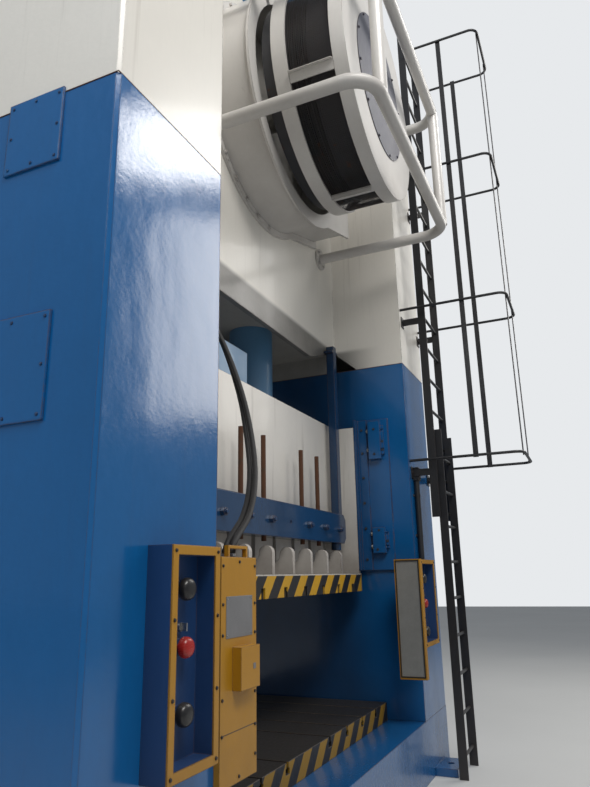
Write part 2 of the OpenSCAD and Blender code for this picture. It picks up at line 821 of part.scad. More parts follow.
module belt_groove(r, y) rotate([90, 0, 0]) translate([0, 0, -y - belt_w]) rotate_extrude($fn = 96) {
  d = groove_d;
  polygon([[r + 1, -1], [r + 1, belt_w + 1], [r - d, belt_w - 7], [r - d, 7]]);
}

// Front view of the drum housing: round on the left, squared low on the right
module drum_outline() {
  circle(r = drum_r, $fn = 96);
  polygon([[0, -drum_r], [drum_r + 130, -drum_r*0.64], [drum_r + 130, 500], [0, 500]]);
}

module drum_housing() color("ivory") {
  translate([fly_x, 0, fly_z]) {
    difference() {
      slab_y(drum_y + 20, drum_d - 20) drum_outline();
      rod_y([0, drum_y - 1, 0], guard_r - 5, drum_d + 2, $fn = 96);
    }
    difference() {
      slab_y(drum_y, 20) offset_outline(32);
      rod_y([0, drum_y - 1, 0], guard_r - 25, 22, $fn = 96);
    }
    difference() {
      slab_y(crown_y - 22, 22) offset_outline(50);
      rod_y([0, crown_y - 23, 0], guard_r - 5, 24, $fn = 96);
      for (a = [100:10:260]) rotate([0, -a, 0]) rod_y([drum_r + 26, crown_y - 23, 0], 9, 24);
    }
  }
}

// The same outline, larger all round
module offset_outline(g) {
  circle(r = drum_r + g, $fn = 96);
  polygon([
    [0, -drum_r - g], [drum_r + 130 + g, -drum_r*0.64 - g], [drum_r + 130 + g, 500 + g], [0, 500 + g]
  ]);
}

// Guard round the flywheel: two rings, cross bars, brackets and the front ring
bar_angles = [86 - belt_side, 94 + belt_side, 204, 270, 342];

module guard_band(r, t, y, len) difference() {
  rod_y([0, y, 0], r + t, len, $fn = 96);
  rod_y([0, y - 1, 0], r, len + 2, $fn = 96);
}

// Sector over the top that is left open for the belts
module belt_gap() slab_y(guard_front - 1, guard_back - guard_front + 2) polygon([
  [0, 0], 1400*[sin(belt_side), cos(belt_side)], 1400*[-sin(belt_side), cos(belt_side)]
]);

module guard_frame() color("white") translate([fly_x, 0, fly_z]) {
  difference() {
    union() {
      guard_band(guard_r, guard_t, guard_back - ring_w, ring_w);
      guard_band(guard_r, guard_t, guard_front, 90);
    }
    belt_gap();
  }
  for (a = bar_angles) rotate([0, -a, 0]) {
    block([guard_r + 3, guard_front + 80, -38], [guard_r + guard_t - 3, guard_back - ring_w + 10, 38]);
    block([guard_r + 5, guard_front + 94, -36], [guard_r + 40, guard_back - ring_w - 4, -28]);
  }
  for (a = [-20, 20, 90 - belt_side - 4, 90 + belt_side + 4]) rotate([0, -a, 0]) {
    block([guard_r + 3, guard_back - 40, -30], [guard_r + guard_t + 6, drum_y, 30]);
  }
  difference() {
    rod_y([0, guard_front - 8, 0], guard_r + guard_t, 8, $fn = 96);
    rod_y([0, guard_front - 9, 0], disc_r - 30, 10, $fn = 96);
  }
}

module guard_mesh() color("black") translate([fly_x, 0, fly_z]) difference() {
  guard_band(guard_r - 5, 5 - seat, guard_front + 40, guard_back - guard_front - 80);
  belt_gap();
}

module guard_disc() color("slategray") translate([fly_x, 0, fly_z]) difference() {
  union() {
    rod_y([0, guard_front - 14, 0], disc_r, 6, $fn = 96);
    rod_y([0, guard_front - 26, 0], disc_hole_r + 16, 12);
  }
  rod_y([0, guard_front - 27, 0], disc_hole_r, 40);
}

// Guard rail: two rails with bent corners, two posts and flanges on the crown

module rail_loop() {
  y = -rail_y;
  b = rail_bend;
  rod_y([-rail_left, y + b, 0], rail_r, rail_y + crown_y - b);
  rod_y([rail_right, y + b, 0], rail_r, rail_y + crown_y - b);
  rod_x([-rail_left + b, y, 0], rail_r, rail_left + rail_right - 2*b);
  translate([-rail_left + b, y + b, 0]) rotate(180) rotate_extrude(angle = 90) translate([b, 0]) circle(r = rail_r);
  translate([rail_right - b, y + b, 0]) rotate(270) rotate_extrude(angle = 90) translate([b, 0]) circle(r = rail_r);
  for (x = [-rail_left, rail_right]) rod_y([x, crown_y - 18, 0], 100, 18);
}

module guard_rail() color("white") {
  for (z = [rail_low, rail_high]) translate([0, 0, z]) rail_loop();
  for (x = [post_left, post_right]) translate([x, -rail_y, rail_low]) cylinder(r = rail_r, h = rail_high - rail_low);
}

// Motor on the crown, with its pulley and belts

module motor() color("steelblue") translate([fly_x, 0, motor_z]) {
  rod_y([0, crown_y - 330, 0], motor_r, 760, $fn = 64);
  rod_y([0, crown_y - 380, 0], motor_r*0.8, 50, $fn = 64);
  for (i = [0:23]) rotate([0, i*15, 0]) block([motor_r - 5, crown_y - 260, -4], [motor_r + 28, crown_y + 340, 4]);
  block([-210, crown_y, -motor_z + crown_top], [210, crown_y + 430, -motor_r + 40]);
  block([-250, crown_y, -motor_z + crown_top], [250, crown_y + 430, -motor_z + crown_top + 30]);
  block([motor_r - 40, crown_y - 60, -80], [motor_r + 110, crown_y + 140, 80]);
}

module motor_pulley() color("dimgray") translate([fly_x, 0, motor_z]) difference() {
  union() {
    rod_y([0, belt_y - 15, 0], pulley_r, belt_n*belt_pitch + 30, $fn = 64);
    rod_y([0, belt_y - 15, 0], 34, crown_y - 380 - seat - belt_y + 15);
  }
  for (i = [0:belt_n - 1]) belt_groove(pulley_r, belt_y + i*belt_pitch);
}

// Loop round both pulleys at the given offset from their rims
module belt_loop(g) {
  d = motor_z - fly_z;
  big = fly_r - groove_d + seat + g;
  small = pulley_r - groove_d + seat + g;
  a = asin((big - small)/d);
  circle(r = big, $fn = 96);
  translate([0, d]) circle(r = small, $fn = 64);
  polygon([
    [big*cos(a), big*sin(a)], [small*cos(a), d + small*sin(a)],
    [-small*cos(a), d + small*sin(a)], [-big*cos(a), big*sin(a)]
  ]);
}

module drive_belts() color("black") translate([fly_x, 0, fly_z]) for (i = [0:belt_n - 1]) {
  slab_y(belt_y + i*belt_pitch + 7 + seat, belt_w - 14 - 2*seat) difference() {
    belt_loop(belt_h);
    belt_loop(0);
  }
}

// Control boxes

module control_box(x, z, w, h) {
  difference() {
    block([x, box_y, z], [x + w, front_y, z + h]);
    block([x + box_rim, box_y - 1, z + box_rim], [x + w - box_rim, box_y + recess_d, z + h - box_rim]);
    for (b = button_rows) rod_y([x + w/2, box_y + recess_d - 1, b], stem_r + run_clear, 50);
  }
  for (b = [palm_high, mushroom_z, palm_low]) button_collar(x + w/2, b);
}

button_rows = [palm_high, key_z, mushroom_z, palm_low];

module left_control_box() color("midnightblue") control_box(left_box_x, box_z, box_w, box_h);

module right_control_box() color("midnightblue") control_box(wide_box_x, wide_box_z, wide_box_w, wide_box_h);

module box_frame(x, z, w, h) difference() {
  block([x, box_y - 6, z], [x + w, box_y, z + h]);
  block([x + box_rim, box_y - 7, z + box_rim], [x + w - box_rim, box_y + 1, z + h - box_rim]);
}

module box_frames() color("gold") {
  box_frame(left_box_x, box_z, box_w, box_h);
  box_frame(wide_box_x, wide_box_z, wide_box_w, wide_box_h);
}

// Button: a head in front of the recess floor and a stem through it
module button(x, z, r, len) translate([x, box_y + recess_d, z]) {
  rod_y([0, -len - palm_travel, 0], r, len - 10);
  rod_y([0, -len - palm_travel - 8, 0], r - 9, 9);
  rod_y([0, -10 - palm_travel - 1, 0], stem_r, 27);
}

// Collar on the recess floor, round a button's stem
module button_collar(x, z) translate([x, box_y + recess_d, z]) difference() {
  rod_y([0, -9, 0], mushroom_r - 6, 9);
  rod_y([0, -10, 0], stem_r + run_clear, 12);
}

module key_switch(x) translate([x, box_y + recess_d, key_z]) {
  rod_y([0, -16 - 1, 0], 15, 16);
  rod_y([0, -6, 0], stem_r, 26);
  block([-3, -40, -14], [3, -16, 14]);
}

module left_upper_palm() color("black") button(left_mid, palm_high, palm_r, 46);

module left_lower_palm() color("black") button(left_mid, palm_low, palm_r, 46);

module left_mushroom() color("firebrick") button(left_mid, mushroom_z, mushroom_r, 46);

module left_key() color("dimgray") key_switch(left_mid);

module right_upper_palm() color("black") button(wide_mid, palm_high, palm_r, 46);

module right_lower_palm() color("black") button(wide_mid, palm_low, palm_r, 46);

module right_mushroom() color("firebrick") button(wide_mid, mushroom_z, mushroom_r, 46);

module right_key() color("dimgray") key_switch(wide_mid);

// Light curtain: a box in the opening's left edge, a receiver beside the right-hand control box

module curtain_boxes() color("gold") {
  difference() {
    curtain_case();
    translate([curtain_x + curtain_w - window_t - 4, 0, 0]) window_room();
  }
  translate([curtain_x, curtain_y, curtain_z]) {
    translate([0, 0, curtain_h]) curtain_handle();
    block([95, -40, 334], [255, 1, 496]);
  }
  difference() {
    block([receiver_x, receiver_y, receiver_z], [wide_box_x, receiver_y + receiver_d, receiver_z + receiver_h]);
    block(
      [receiver_x - 1, receiver_y + 17, receiver_z + 22],
      [receiver_x + window_t + 4, receiver_y + receiver_d - 17, receiver_z + receiver_h - 17]
    );
  }
}

module curtain_case() block(
  [curtain_x, curtain_y, curtain_z], [curtain_x + curtain_w, curtain_y + curtain_d, curtain_z + curtain_h]
);

// Room of the window in the box's inner side
module window_room() block(
  [0, curtain_y + 18, curtain_z + 25], [window_t + 5, curtain_y + curtain_d - 18, curtain_z + curtain_h - 25]
);

module curtain_handle() difference() {
  block([68, 8, -1], [236, 28, 48]);
  block([82, 7, 0], [222, 29, 34]);
}

module curtain_windows() color("gray") {
  block(
    [curtain_x + curtain_w - window_t - 4 + seat, curtain_y + 18 + seat, curtain_z + 25 + seat],
    [curtain_x + curtain_w - 4, curtain_y + curtain_d - 18 - seat, curtain_z + curtain_h - 25 - seat]
  );
  block(
    [receiver_x + 4, receiver_y + 17 + seat, receiver_z + 22 + seat],
    [receiver_x + window_t + 4 - seat, receiver_y + receiver_d - 17 - seat, receiver_z + receiver_h - 17 - seat]
  );
}

// Ladder and cage on the right upright

module stiles(w, y, z0, z1) for (s = [-1, 1]) block(
  [ladder_x + s*(w + stile_t)/2 - stile_t/2, y - stile_d/2, z0],
  [ladder_x + s*(w + stile_t)/2 + stile_t/2, y + stile_d/2, z1]
);

module rungs(w, y, first, z1) for (z = [first:rung_pitch:z1 - 100]) {
  rod_x([ladder_x - w/2, y, z], rung_r, w);
}

module upper_rungs() color("black") rungs(ladder_w, ladder_y, ladder_low + 60, ladder_high);

module upper_ladder() color("black") {
  stiles(ladder_w, ladder_y, ladder_low, ladder_high);
  for (z = bracket_rows) for (s = [-1, 1]) {
    x = ladder_x + s*(ladder_w/2 + stile_t);
    block([x - stile_t*(s + 1)/2, ladder_y, z], [x - stile_t*(s - 1)/2, front_y, z + 60]);
    block([x - 40, front_y - 8, z - 20], [x + 40, front_y, z + 80]);
  }
}

bracket_rows = [2380, 3790, 5200];

module lower_ladder() color("black") {
  stiles(lower_w, lower_y, 0, lower_top);
  rungs(lower_w, lower_y, 150, lower_top);
}

module cage() color("black") {
  for (i = [0:hoop_n - 1]) translate([0, 0, hoop_z + i*hoop_pitch]) hoop(i < 3 ? front_y : ladder_y - stile_d/2);
  for (p = cage_bars) block(
    [p[0] - p[2]/2, p[1] - p[3]/2, hoop_z - 15],
    [p[0] + p[2]/2, p[1] + p[3]/2, hoop_z + (hoop_n - 1)*hoop_pitch + 15]
  );
}

cage_bars = [
  [hoop_left + hoop_r + bar_t/2 - 2, -1667, bar_t, bar_w],
  [hoop_right - hoop_r - bar_t/2 + 2, -1689, bar_t, bar_w],
  [hoop_left + 105, hoop_y + hoop_r + bar_t/2 - 2, bar_w, bar_t],
  [hoop_right - 105, hoop_y + hoop_r + bar_t/2 - 2, bar_w, bar_t]
];

module hoop(back) {
  b = 80;
  for (x = [hoop_left, hoop_right]) rod_y([x, hoop_y + b, 0], hoop_r, back - hoop_y - b);
  rod_x([hoop_left + b, hoop_y, 0], hoop_r, hoop_right - hoop_left - 2*b);
  translate([hoop_left + b, hoop_y + b, 0]) rotate(180) rotate_extrude(angle = 90) translate([b, 0]) circle(r = hoop_r);
  translate([hoop_right - b, hoop_y + b, 0]) rotate(270) rotate_extrude(angle = 90) translate([b, 0]) circle(r = hoop_r);
}

module conduit() color("black") translate([half_open + 135, front_y - conduit_r - seat, box_z + box_h]) {
  cylinder(r = conduit_r, h = conduit_h);
}

// Hose: rings of points swept along its route
function along(path, i) =
  let (a = path[max(i - 1, 0)], b = path[min(i + 1, len(path) - 1)]) (b - a)/norm(b - a);

function ring(p, d, r, n) =
  let (u = cross(d, [0, 1, 0.001]), v = cross(d, u))
  [for (k = [0:n - 1]) p + r*(cos(360*k/n)*u/norm(u) + sin(360*k/n)*v/norm(v))];

// Smooth curve through the route's points
function spline(path, i, t) =
  let (
    p0 = path[max(i - 1, 0)], p1 = path[i], p2 = path[i + 1], p3 = path[min(i + 2, len(path) - 1)]
  )
  0.5*((2*p1) + (p2 - p0)*t + (2*p0 - 5*p1 + 4*p2 - p3)*t*t + (3*p1 - p0 - 3*p2 + p3)*t*t*t);

function smooth(path, steps) = concat(
  [for (i = [0:len(path) - 2]) for (s = [0:steps - 1]) spline(path, i, s/steps)],
  [path[len(path) - 1]]
);

module swept_tube(path, r, n) {
  m = len(path);
  pts = [for (i = [0:m - 1]) each ring(path[i], along(path, i), r, n)];
  sides = [for (i = [0:m - 2]) for (k = [0:n - 1])
    [i*n + k, (i + 1)*n + k, (i + 1)*n + (k + 1) % n, i*n + (k + 1) % n]];
  polyhedron(pts, concat(sides, [[for (k = [0:n - 1]) k]], [[for (k = [n - 1:-1:0]) (m - 1)*n + k]]));
}

module hoses() color("black") {
  swept_tube(smooth(hose_a, 3), hose_r, 8);
  swept_tube(smooth(hose_b, 3), hose_r, 8);
}

bed();
foot_lugs();
bolster_plate();
left_upright();
right_upright();
crown();
crown_towers();
tie_rods();
tie_rod_nuts();
side_covers();
gib_plates();
gib_blocks();
gib_screws();
slide_body();
slide_plate();
knockout_bars();
adjuster_plate();
adjuster_housing();
left_plunger();
right_plunger();
knockout_beam();
knockout_rods();
clamp_bolts();
hanger_tubes();
drum_housing();
flywheel();
guard_frame();
guard_mesh();
guard_disc();
guard_rail();
motor();
motor_pulley();
drive_belts();
drive_shaft();
pinion();
clutch_disc();
left_gear();
right_gear();
gear_pins();
left_con_rod();
right_con_rod();
left_control_box();
right_control_box();
box_frames();
left_upper_palm();
left_lower_palm();
left_mushroom();
left_key();
right_upper_palm();
right_lower_palm();
right_mushroom();
right_key();
curtain_boxes();
curtain_windows();
upper_ladder();
upper_rungs();
lower_ladder();
cage();
conduit();
hoses();
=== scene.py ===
# %% [markdown]
# # A straight-side stamping press
#
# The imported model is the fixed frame: it carries every solid piece of the press at its real size.
# This lesson adds what a solid model can't show, which is paint, rust, grime, weld beads, bolt heads,
# the wire of the flywheel's guard and the hoses. The frame is loaded first, so that all that follows can ask
# it where a piece is.

import math

import bmesh
import bpy
from mathutils import Matrix, Vector


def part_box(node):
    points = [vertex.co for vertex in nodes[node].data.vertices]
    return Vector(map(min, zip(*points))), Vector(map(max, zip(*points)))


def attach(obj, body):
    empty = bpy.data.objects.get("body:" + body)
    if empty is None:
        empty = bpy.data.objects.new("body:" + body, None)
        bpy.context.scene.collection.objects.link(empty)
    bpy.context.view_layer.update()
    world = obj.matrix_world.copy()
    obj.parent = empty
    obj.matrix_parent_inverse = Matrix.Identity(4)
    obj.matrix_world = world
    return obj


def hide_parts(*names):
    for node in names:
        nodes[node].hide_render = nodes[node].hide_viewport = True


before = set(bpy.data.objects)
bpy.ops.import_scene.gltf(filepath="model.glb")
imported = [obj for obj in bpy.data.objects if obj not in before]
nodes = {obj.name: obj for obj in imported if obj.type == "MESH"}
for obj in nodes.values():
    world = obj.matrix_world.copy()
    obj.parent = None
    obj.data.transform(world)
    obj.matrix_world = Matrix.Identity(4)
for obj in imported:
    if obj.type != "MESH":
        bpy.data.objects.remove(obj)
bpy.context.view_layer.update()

# %% [markdown]
# ## The camera
#
# The picture is taken from close to the left upright, looking up along the press's front. The height of the
# eye, the turn and the tilt were found from the upright's edges and the ladder's rungs. A camera looks along
# its own -Z, so its matrix is built from three directions: right, up and backwards. The focal length was
# found in pixels, and the picture's height and a sensor of 36 mm turn it into millimetres.

# %% Camera
EYE = Vector((-3.981, -2.52, 1.55))
TURN, TILT, ROLL = math.radians(24.007), math.radians(15.557), math.radians(-1.147)
FOCAL_PIXELS = 658.08
PICTURE_HEIGHT = 787
SENSOR = 36
FAR_CLIP = 200

forward = Vector((math.cos(TURN) * math.cos(TILT), math.sin(TURN) * math.cos(TILT), math.sin(TILT)))
level_right = Vector((math.sin(TURN), -math.cos(TURN), 0))
level_up = level_right.cross(forward)
right = level_right * math.cos(ROLL) + level_up * math.sin(ROLL)
up = level_up * math.cos(ROLL) - level_right * math.sin(ROLL)

camera_data = bpy.data.cameras.new("camera")
camera_data.lens = FOCAL_PIXELS / PICTURE_HEIGHT * SENSOR
camera_data.sensor_width = SENSOR
camera_data.clip_end = FAR_CLIP
camera = bpy.data.objects.new("camera", camera_data)
camera.matrix_world = Matrix([(right[k], up[k], -forward[k], EYE[k]) for k in range(3)] + [(0, 0, 0, 1)])
bpy.context.scene.collection.objects.link(camera)
bpy.context.scene.camera = camera
print("lens", round(camera_data.lens, 2), "mm")

# %% [markdown]
# ## Hoses
#
# Two black hoses leave the crown's underside in front of the slide and run down to the light-curtain box
# on the left. Each is one smooth curve through points that keep clear of the slide over its whole stroke.
# The points are given as shares of the way from one end to the other, and the second hose follows the first:
# it starts beside it and ends behind it.

# %% The hoses' routes
HOSE_START, HOSE_END = (-0.640, -0.430, 3.3838), (-1.440, -1.075, 1.6374)
# Share of the way in X, Y and Z at each point of the route
HOSE_STEPS = [
    (0, 0, 0), (0, 0.0155, 0.0886), (0.0063, 0.1008, 0.1744), (0.0187, 0.2248, 0.2659),
    (0.0375, 0.3488, 0.3688), (0.0625, 0.4651, 0.4831), (0.1187, 0.5736, 0.6089),
    (0.2375, 0.6822, 0.7233), (0.425, 0.7907, 0.8205), (0.6375, 0.8837, 0.8891),
    (0.825, 0.9535, 0.9291), (0.95, 0.9922, 0.9577), (0.9938, 1, 0.9806), (1, 1, 1),
]
HOSE_GAP = 0.038
# The hoses change from side by side to one behind the other over this many points
CROSSING_POINTS = 6
# Share of the sideways gap that is lost there
GAP_LOSS = 0.7


def beside(points):
    """The route of the hose that starts beside another and ends behind it."""
    out = []
    for i, (x, y, z) in enumerate(points):
        t = min(1, i / CROSSING_POINTS)
        out.append((x + HOSE_GAP * (1 - GAP_LOSS * t), y + HOSE_GAP * t, z))
    return out


front_route = [tuple(a + f * (b - a) for a, b, f in zip(HOSE_START, HOSE_END, step)) for step in HOSE_STEPS]
routes = {"front": front_route, "rear": beside(front_route)}
print("hoses:", len(routes), "with", len(front_route), "points each")

# %% [markdown]
# ## Tubes along the routes
#
# A few points make a jerky hose, so a curve that passes smoothly through them gives more. A curve with a round
# bevel is the plainest tube there is, and it keeps its diameter in every bend.

# %% Hoses
HOSE_RADIUS = 0.015


def smooth_path(points, steps=3):
    """Points of a curve that passes smoothly through the given ones."""
    out = []
    last = len(points) - 1
    for i in range(last):
        p0, p1, p2, p3 = (Vector(points[min(max(j, 0), last)]) for j in (i - 1, i, i + 1, i + 2))
        for s in range(steps):
            t = s / steps
            squared = (2 * p0 - 5 * p1 + 4 * p2 - p3) * t * t
            cubed = (3 * p1 - p0 - 3 * p2 + p3) * t**3
            out.append(0.5 * (2 * p1 + (p2 - p0) * t + squared + cubed))
    return out + [Vector(points[-1])]


def tube(name, path, radius):
    """A round tube along a path, as a curve of one open spline."""
    curve = bpy.data.curves.new(name, "CURVE")
    curve.dimensions = "3D"
    curve.bevel_depth = radius
    curve.bevel_resolution = 3
    curve.use_fill_caps = True
    spline = curve.splines.new("POLY")
    spline.points.add(len(path) - 1)
    for point, p in zip(spline.points, path):
        point.co = (*p, 1)
    piece = bpy.data.objects.new(name, curve)
    bpy.context.scene.collection.objects.link(piece)
    return piece


hoses = []
for name, route in routes.items():
    path = smooth_path(route)
    hose = tube("hose_" + name, path, HOSE_RADIUS)
    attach(hose, "frame")
    hoses.append(hose)
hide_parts("hoses")

# %% [markdown]
# ## Floor
#
# A press stands on a workshop floor. Here it is one pale square that is much wider than the picture, so that it
# only shows the press's shadow and a far, level edge.

# %% Floor
FLOOR_HALF = 30


def mesh_object(name, verts, faces):
    """An object at the origin, with its place in its mesh."""
    mesh = bpy.data.meshes.new(name)
    mesh.from_pydata([tuple(v) for v in verts], [], faces)
    mesh.update()
    piece = bpy.data.objects.new(name, mesh)
    bpy.context.scene.collection.objects.link(piece)
    return piece


corners = [(x * FLOOR_HALF, y * FLOOR_HALF, 0) for x, y in ((-1, -1), (1, -1), (1, 1), (-1, 1))]
floor = mesh_object("floor", corners, [(0, 1, 2, 3)])
print("floor", 2 * FLOOR_HALF, "m wide")

# %% [markdown]
# ## Sky
#
# The world does two things. It fills the shade with a weak bluish light, and it stands behind the press as a
# pale wall. One colour can't do both, so a Light Path node picks the pale one for what the camera sees, also
# through glass, and the weak one for the light that falls on the press and for its reflections. A reflected
# pale wall would wash out the dark blue enamel.

# %% Sky
SHADE_COLOUR, SHADE_STRENGTH = (0.86, 0.92, 1.0, 1), 0.30
WALL_COLOUR, WALL_STRENGTH = (0.80, 0.82, 0.84, 1), 1.0

world = bpy.data.worlds.new("soft_sky")
bpy.context.scene.world = world
world.use_nodes = True
sky = world.node_tree
shade_light = sky.nodes["Background"]
wall_light = sky.nodes.new("ShaderNodeBackground")
for light, colour, strength in (
    (shade_light, SHADE_COLOUR, SHADE_STRENGTH),
    (wall_light, WALL_COLOUR, WALL_STRENGTH),
):
    light.inputs["Color"].default_value = colour
    light.inputs["Strength"].default_value = strength
path_kind = sky.nodes.new("ShaderNodeLightPath")
either = sky.nodes.new("ShaderNodeMath")
either.operation = "MAXIMUM"
mix = sky.nodes.new("ShaderNodeMixShader")
for source, target in (
    (path_kind.outputs["Is Camera Ray"], either.inputs[0]),
    (path_kind.outputs["Is Transmission Ray"], either.inputs[1]),
    (either.outputs[0], mix.inputs[0]),
    (shade_light.outputs[0], mix.inputs[1]),
    (wall_light.outputs[0], mix.inputs[2]),
    (mix.outputs[0], sky.nodes["World Output"].inputs["Surface"]),
):
    sky.links.new(source, target)
print("sky strength", SHADE_STRENGTH)

# %% [markdown]
# ## Lamps
#
# A workshop is lit by rows of windows high up. Large area lamps give that soft light: one from the roof at the
# front, a cooler one on the left side, one from the far end, and a small high one whose reflection makes the
# bright patch near the top of the left upright. Pale paint clips to white first, so their power is kept under
# what would clip the cream crown.

# %% Lamps
# Name: place, what it points at, width and height, watts, colour
LAMPS = {
    "roof_light": ((-4.0, -5.5, 9.5), (-0.8, -0.5, 4.2), (5, 3), 600, (1, 0.98, 0.95)),
    "side_light": ((-8.0, 0.5, 7.5), (-2.2, -0.2, 4.6), (3, 3), 190, (0.92, 0.96, 1)),
    "far_light": ((7, -5.5, 6.5), (0.5, -0.5, 3), (4, 4), 210, (1, 0.97, 0.92)),
    "high_window": ((4.5, -5.5, 9.0), (-1.7, -1.1, 3.3), (2.4, 1.2), 100, (1, 0.98, 0.95)),
}
for name, (place, target, lamp_size, power, colour) in LAMPS.items():
    lamp_data = bpy.data.lights.new(name, "AREA")
    lamp_data.shape = "RECTANGLE"
    lamp_data.size, lamp_data.size_y = lamp_size
    lamp_data.energy = power
    lamp_data.color = colour
    lamp = bpy.data.objects.new(name, lamp_data)
    lamp.location = place
    lamp.rotation_euler = (Vector(target) - Vector(place)).to_track_quat("-Z", "Y").to_euler()
    bpy.context.scene.collection.objects.link(lamp)
bpy.context.scene.view_settings.view_transform = "Standard"
print("lamps:", ", ".join(LAMPS))

# %% [markdown]
# ## Tools for shader nodes
#
# Every finish below is a tree of nodes. It is easier to read when one line stands for one node, so these
# helpers make a node, feed it with plain numbers or with what other nodes give, and hand back its output.

# %% Shader tools
def wire(tree, value, socket):
    """Joins a socket to another node's output, or sets a plain number or colour on it."""
    if isinstance(value, bpy.types.NodeSocket):
        tree.links.new(value, socket)
    elif socket.type == "RGBA" and len(value) == 3:
        socket.default_value = (*value, 1)
    else:
        socket.default_value = value


def noise(tree, vector, scale, detail=3, rough=0.55):
    node = tree.nodes.new("ShaderNodeTexNoise")
    for label, value in (("Vector", vector), ("Scale", scale), ("Detail", detail), ("Roughness", rough)):
        wire(tree, value, node.inputs[label])
    return node.outputs["Fac"]


def math_node(tree, operation, *values, clamp=False):
    node = tree.nodes.new("ShaderNodeMath")
    node.operation = operation
    node.use_clamp = clamp
    for socket, value in zip(node.inputs, values):
        wire(tree, value, socket)
    return node.outputs[0]


def multiply(tree, a, b):
    return math_node(tree, "MULTIPLY", a, b)


def remap(tree, value, low, high):
    """0 at low and below, 1 at high and above, and a smooth rise between. Low may be the larger number."""
    node = tree.nodes.new("ShaderNodeMapRange")
    node.interpolation_type = "SMOOTHSTEP"
    for label, number in (("Value", value), ("From Min", low), ("From Max", high)):
        wire(tree, number, node.inputs[label])
    return node.outputs["Result"]


def blend_colours(tree, factor, a, b):
    """The first colour where the factor is 0, the second where it is 1."""
    node = tree.nodes.new("ShaderNodeMix")
    node.data_type = "RGBA"
    for number, value in ((0, factor), (6, a), (7, b)):
        wire(tree, value, node.inputs[number])
    return node.outputs[2]


def stretched(tree, vector, scale):
    node = tree.nodes.new("ShaderNodeMapping")
    wire(tree, scale, node.inputs["Scale"])
    wire(tree, vector, node.inputs["Vector"])
    return node.outputs["Vector"]


def parts_of(tree, vector):
    """X, Y and Z of a vector, as three outputs."""
    node = tree.nodes.new("ShaderNodeSeparateXYZ")
    wire(tree, vector, node.inputs[0])
    return node.outputs


# %% [markdown]
# ## Paint tone
#
# The same few things happen to every paint in a workshop: its tone varies a little, its edges lose paint, dust
# settles low down and oil runs down in streaks. Each effect is a node group that is built once and placed in
# every material with its own numbers. A group only works out colours, masks and normals; the shader stays in
# the material. The first one makes a colour a little lighter and darker in wide patches and in fine grain.

# %% Paint tone
FLOAT, COLOUR, VECTOR = "NodeSocketFloat", "NodeSocketColor", "NodeSocketVector"
PLACE = ("Place", VECTOR, (0, 0, 0))
MEAN_TONE = 0.68
FINE_SHARE = 0.35


def new_group(name, inputs, outputs):
    """A shader node group with named sockets: the group, its inputs and its outputs."""
    group = bpy.data.node_groups.new(name, "ShaderNodeTree")
    for label, kind, value in inputs:
        socket = group.interface.new_socket(label, in_out="INPUT", socket_type=kind)
        socket.default_value = value
    for label, kind in outputs:
        group.interface.new_socket(label, in_out="OUTPUT", socket_type=kind)
    return group, group.nodes.new("NodeGroupInput").outputs, group.nodes.new("NodeGroupOutput").inputs


tone_group, given, result = new_group(
    "Paint tone",
    [("Colour", COLOUR, (0.5, 0.5, 0.5, 1)), ("Patch Scale", FLOAT, 0.7), ("Contrast", FLOAT, 0.25), PLACE],
    [("Colour", COLOUR), ("Fine", FLOAT)],
)
patches = noise(tone_group, given["Place"], given["Patch Scale"], 4)
fine = noise(tone_group, stretched(tone_group, given["Place"], (9, 9, 3)), 6, 5)
tone_sum = math_node(tone_group, "MULTIPLY_ADD", fine, FINE_SHARE, patches)
shade = math_node(tone_group, "SUBTRACT", tone_sum, MEAN_TONE)
gain = math_node(tone_group, "MULTIPLY_ADD", shade, given["Contrast"], 1.0)
scaled = tone_group.nodes.new("ShaderNodeVectorMath")
scaled.operation = "SCALE"
wire(tone_group, given["Colour"], scaled.inputs[0])
wire(tone_group, gain, scaled.inputs["Scale"])
wire(tone_group, scaled.outputs[0], result["Colour"])
wire(tone_group, fine, result["Fine"])
print("group:", tone_group.name)

# %% [markdown]
# ## Worn edges
#
# Paint goes first from the corners, where sleeves, slings and spanners rub. The Bevel node gives the normal
# that a rounded corner would have. Where it differs from the flat face's own normal there is a corner, and
# noise breaks that line into chips. The same rounded normal also makes sharp plate edges catch the light.

# %% Worn edges
FLAT_MATCH, CORNER_MATCH = 0.985, 0.80
CHIP_SOFTNESS = 0.25

edge_group, given, result = new_group(
    "Worn edges",
    [("Width", FLOAT, 0.012), ("Amount", FLOAT, 0.5), ("Break Scale", FLOAT, 5.0), PLACE],
    [("Mask", FLOAT), ("Normal", VECTOR)],
)
rounded = edge_group.nodes.new("ShaderNodeBevel")
rounded.samples = 4
wire(edge_group, given["Width"], rounded.inputs["Radius"])
flat = edge_group.nodes.new("ShaderNodeNewGeometry")
match = edge_group.nodes.new("ShaderNodeVectorMath")
match.operation = "DOT_PRODUCT"
wire(edge_group, rounded.outputs["Normal"], match.inputs[0])
wire(edge_group, flat.outputs["Normal"], match.inputs[1])
edge = remap(edge_group, match.outputs["Value"], FLAT_MATCH, CORNER_MATCH)
broken = noise(edge_group, given["Place"], given["Break Scale"], 6, 0.7)
chipped = multiply(edge_group, edge, multiply(edge_group, broken, 2.0))
threshold = math_node(edge_group, "SUBTRACT", 1.0, given["Amount"])
worn = remap(edge_group, chipped, threshold, math_node(edge_group, "ADD", threshold, CHIP_SOFTNESS))
wire(edge_group, worn, result["Mask"])
wire(edge_group, rounded.outputs["Normal"], result["Normal"])
print("group:", edge_group.name)
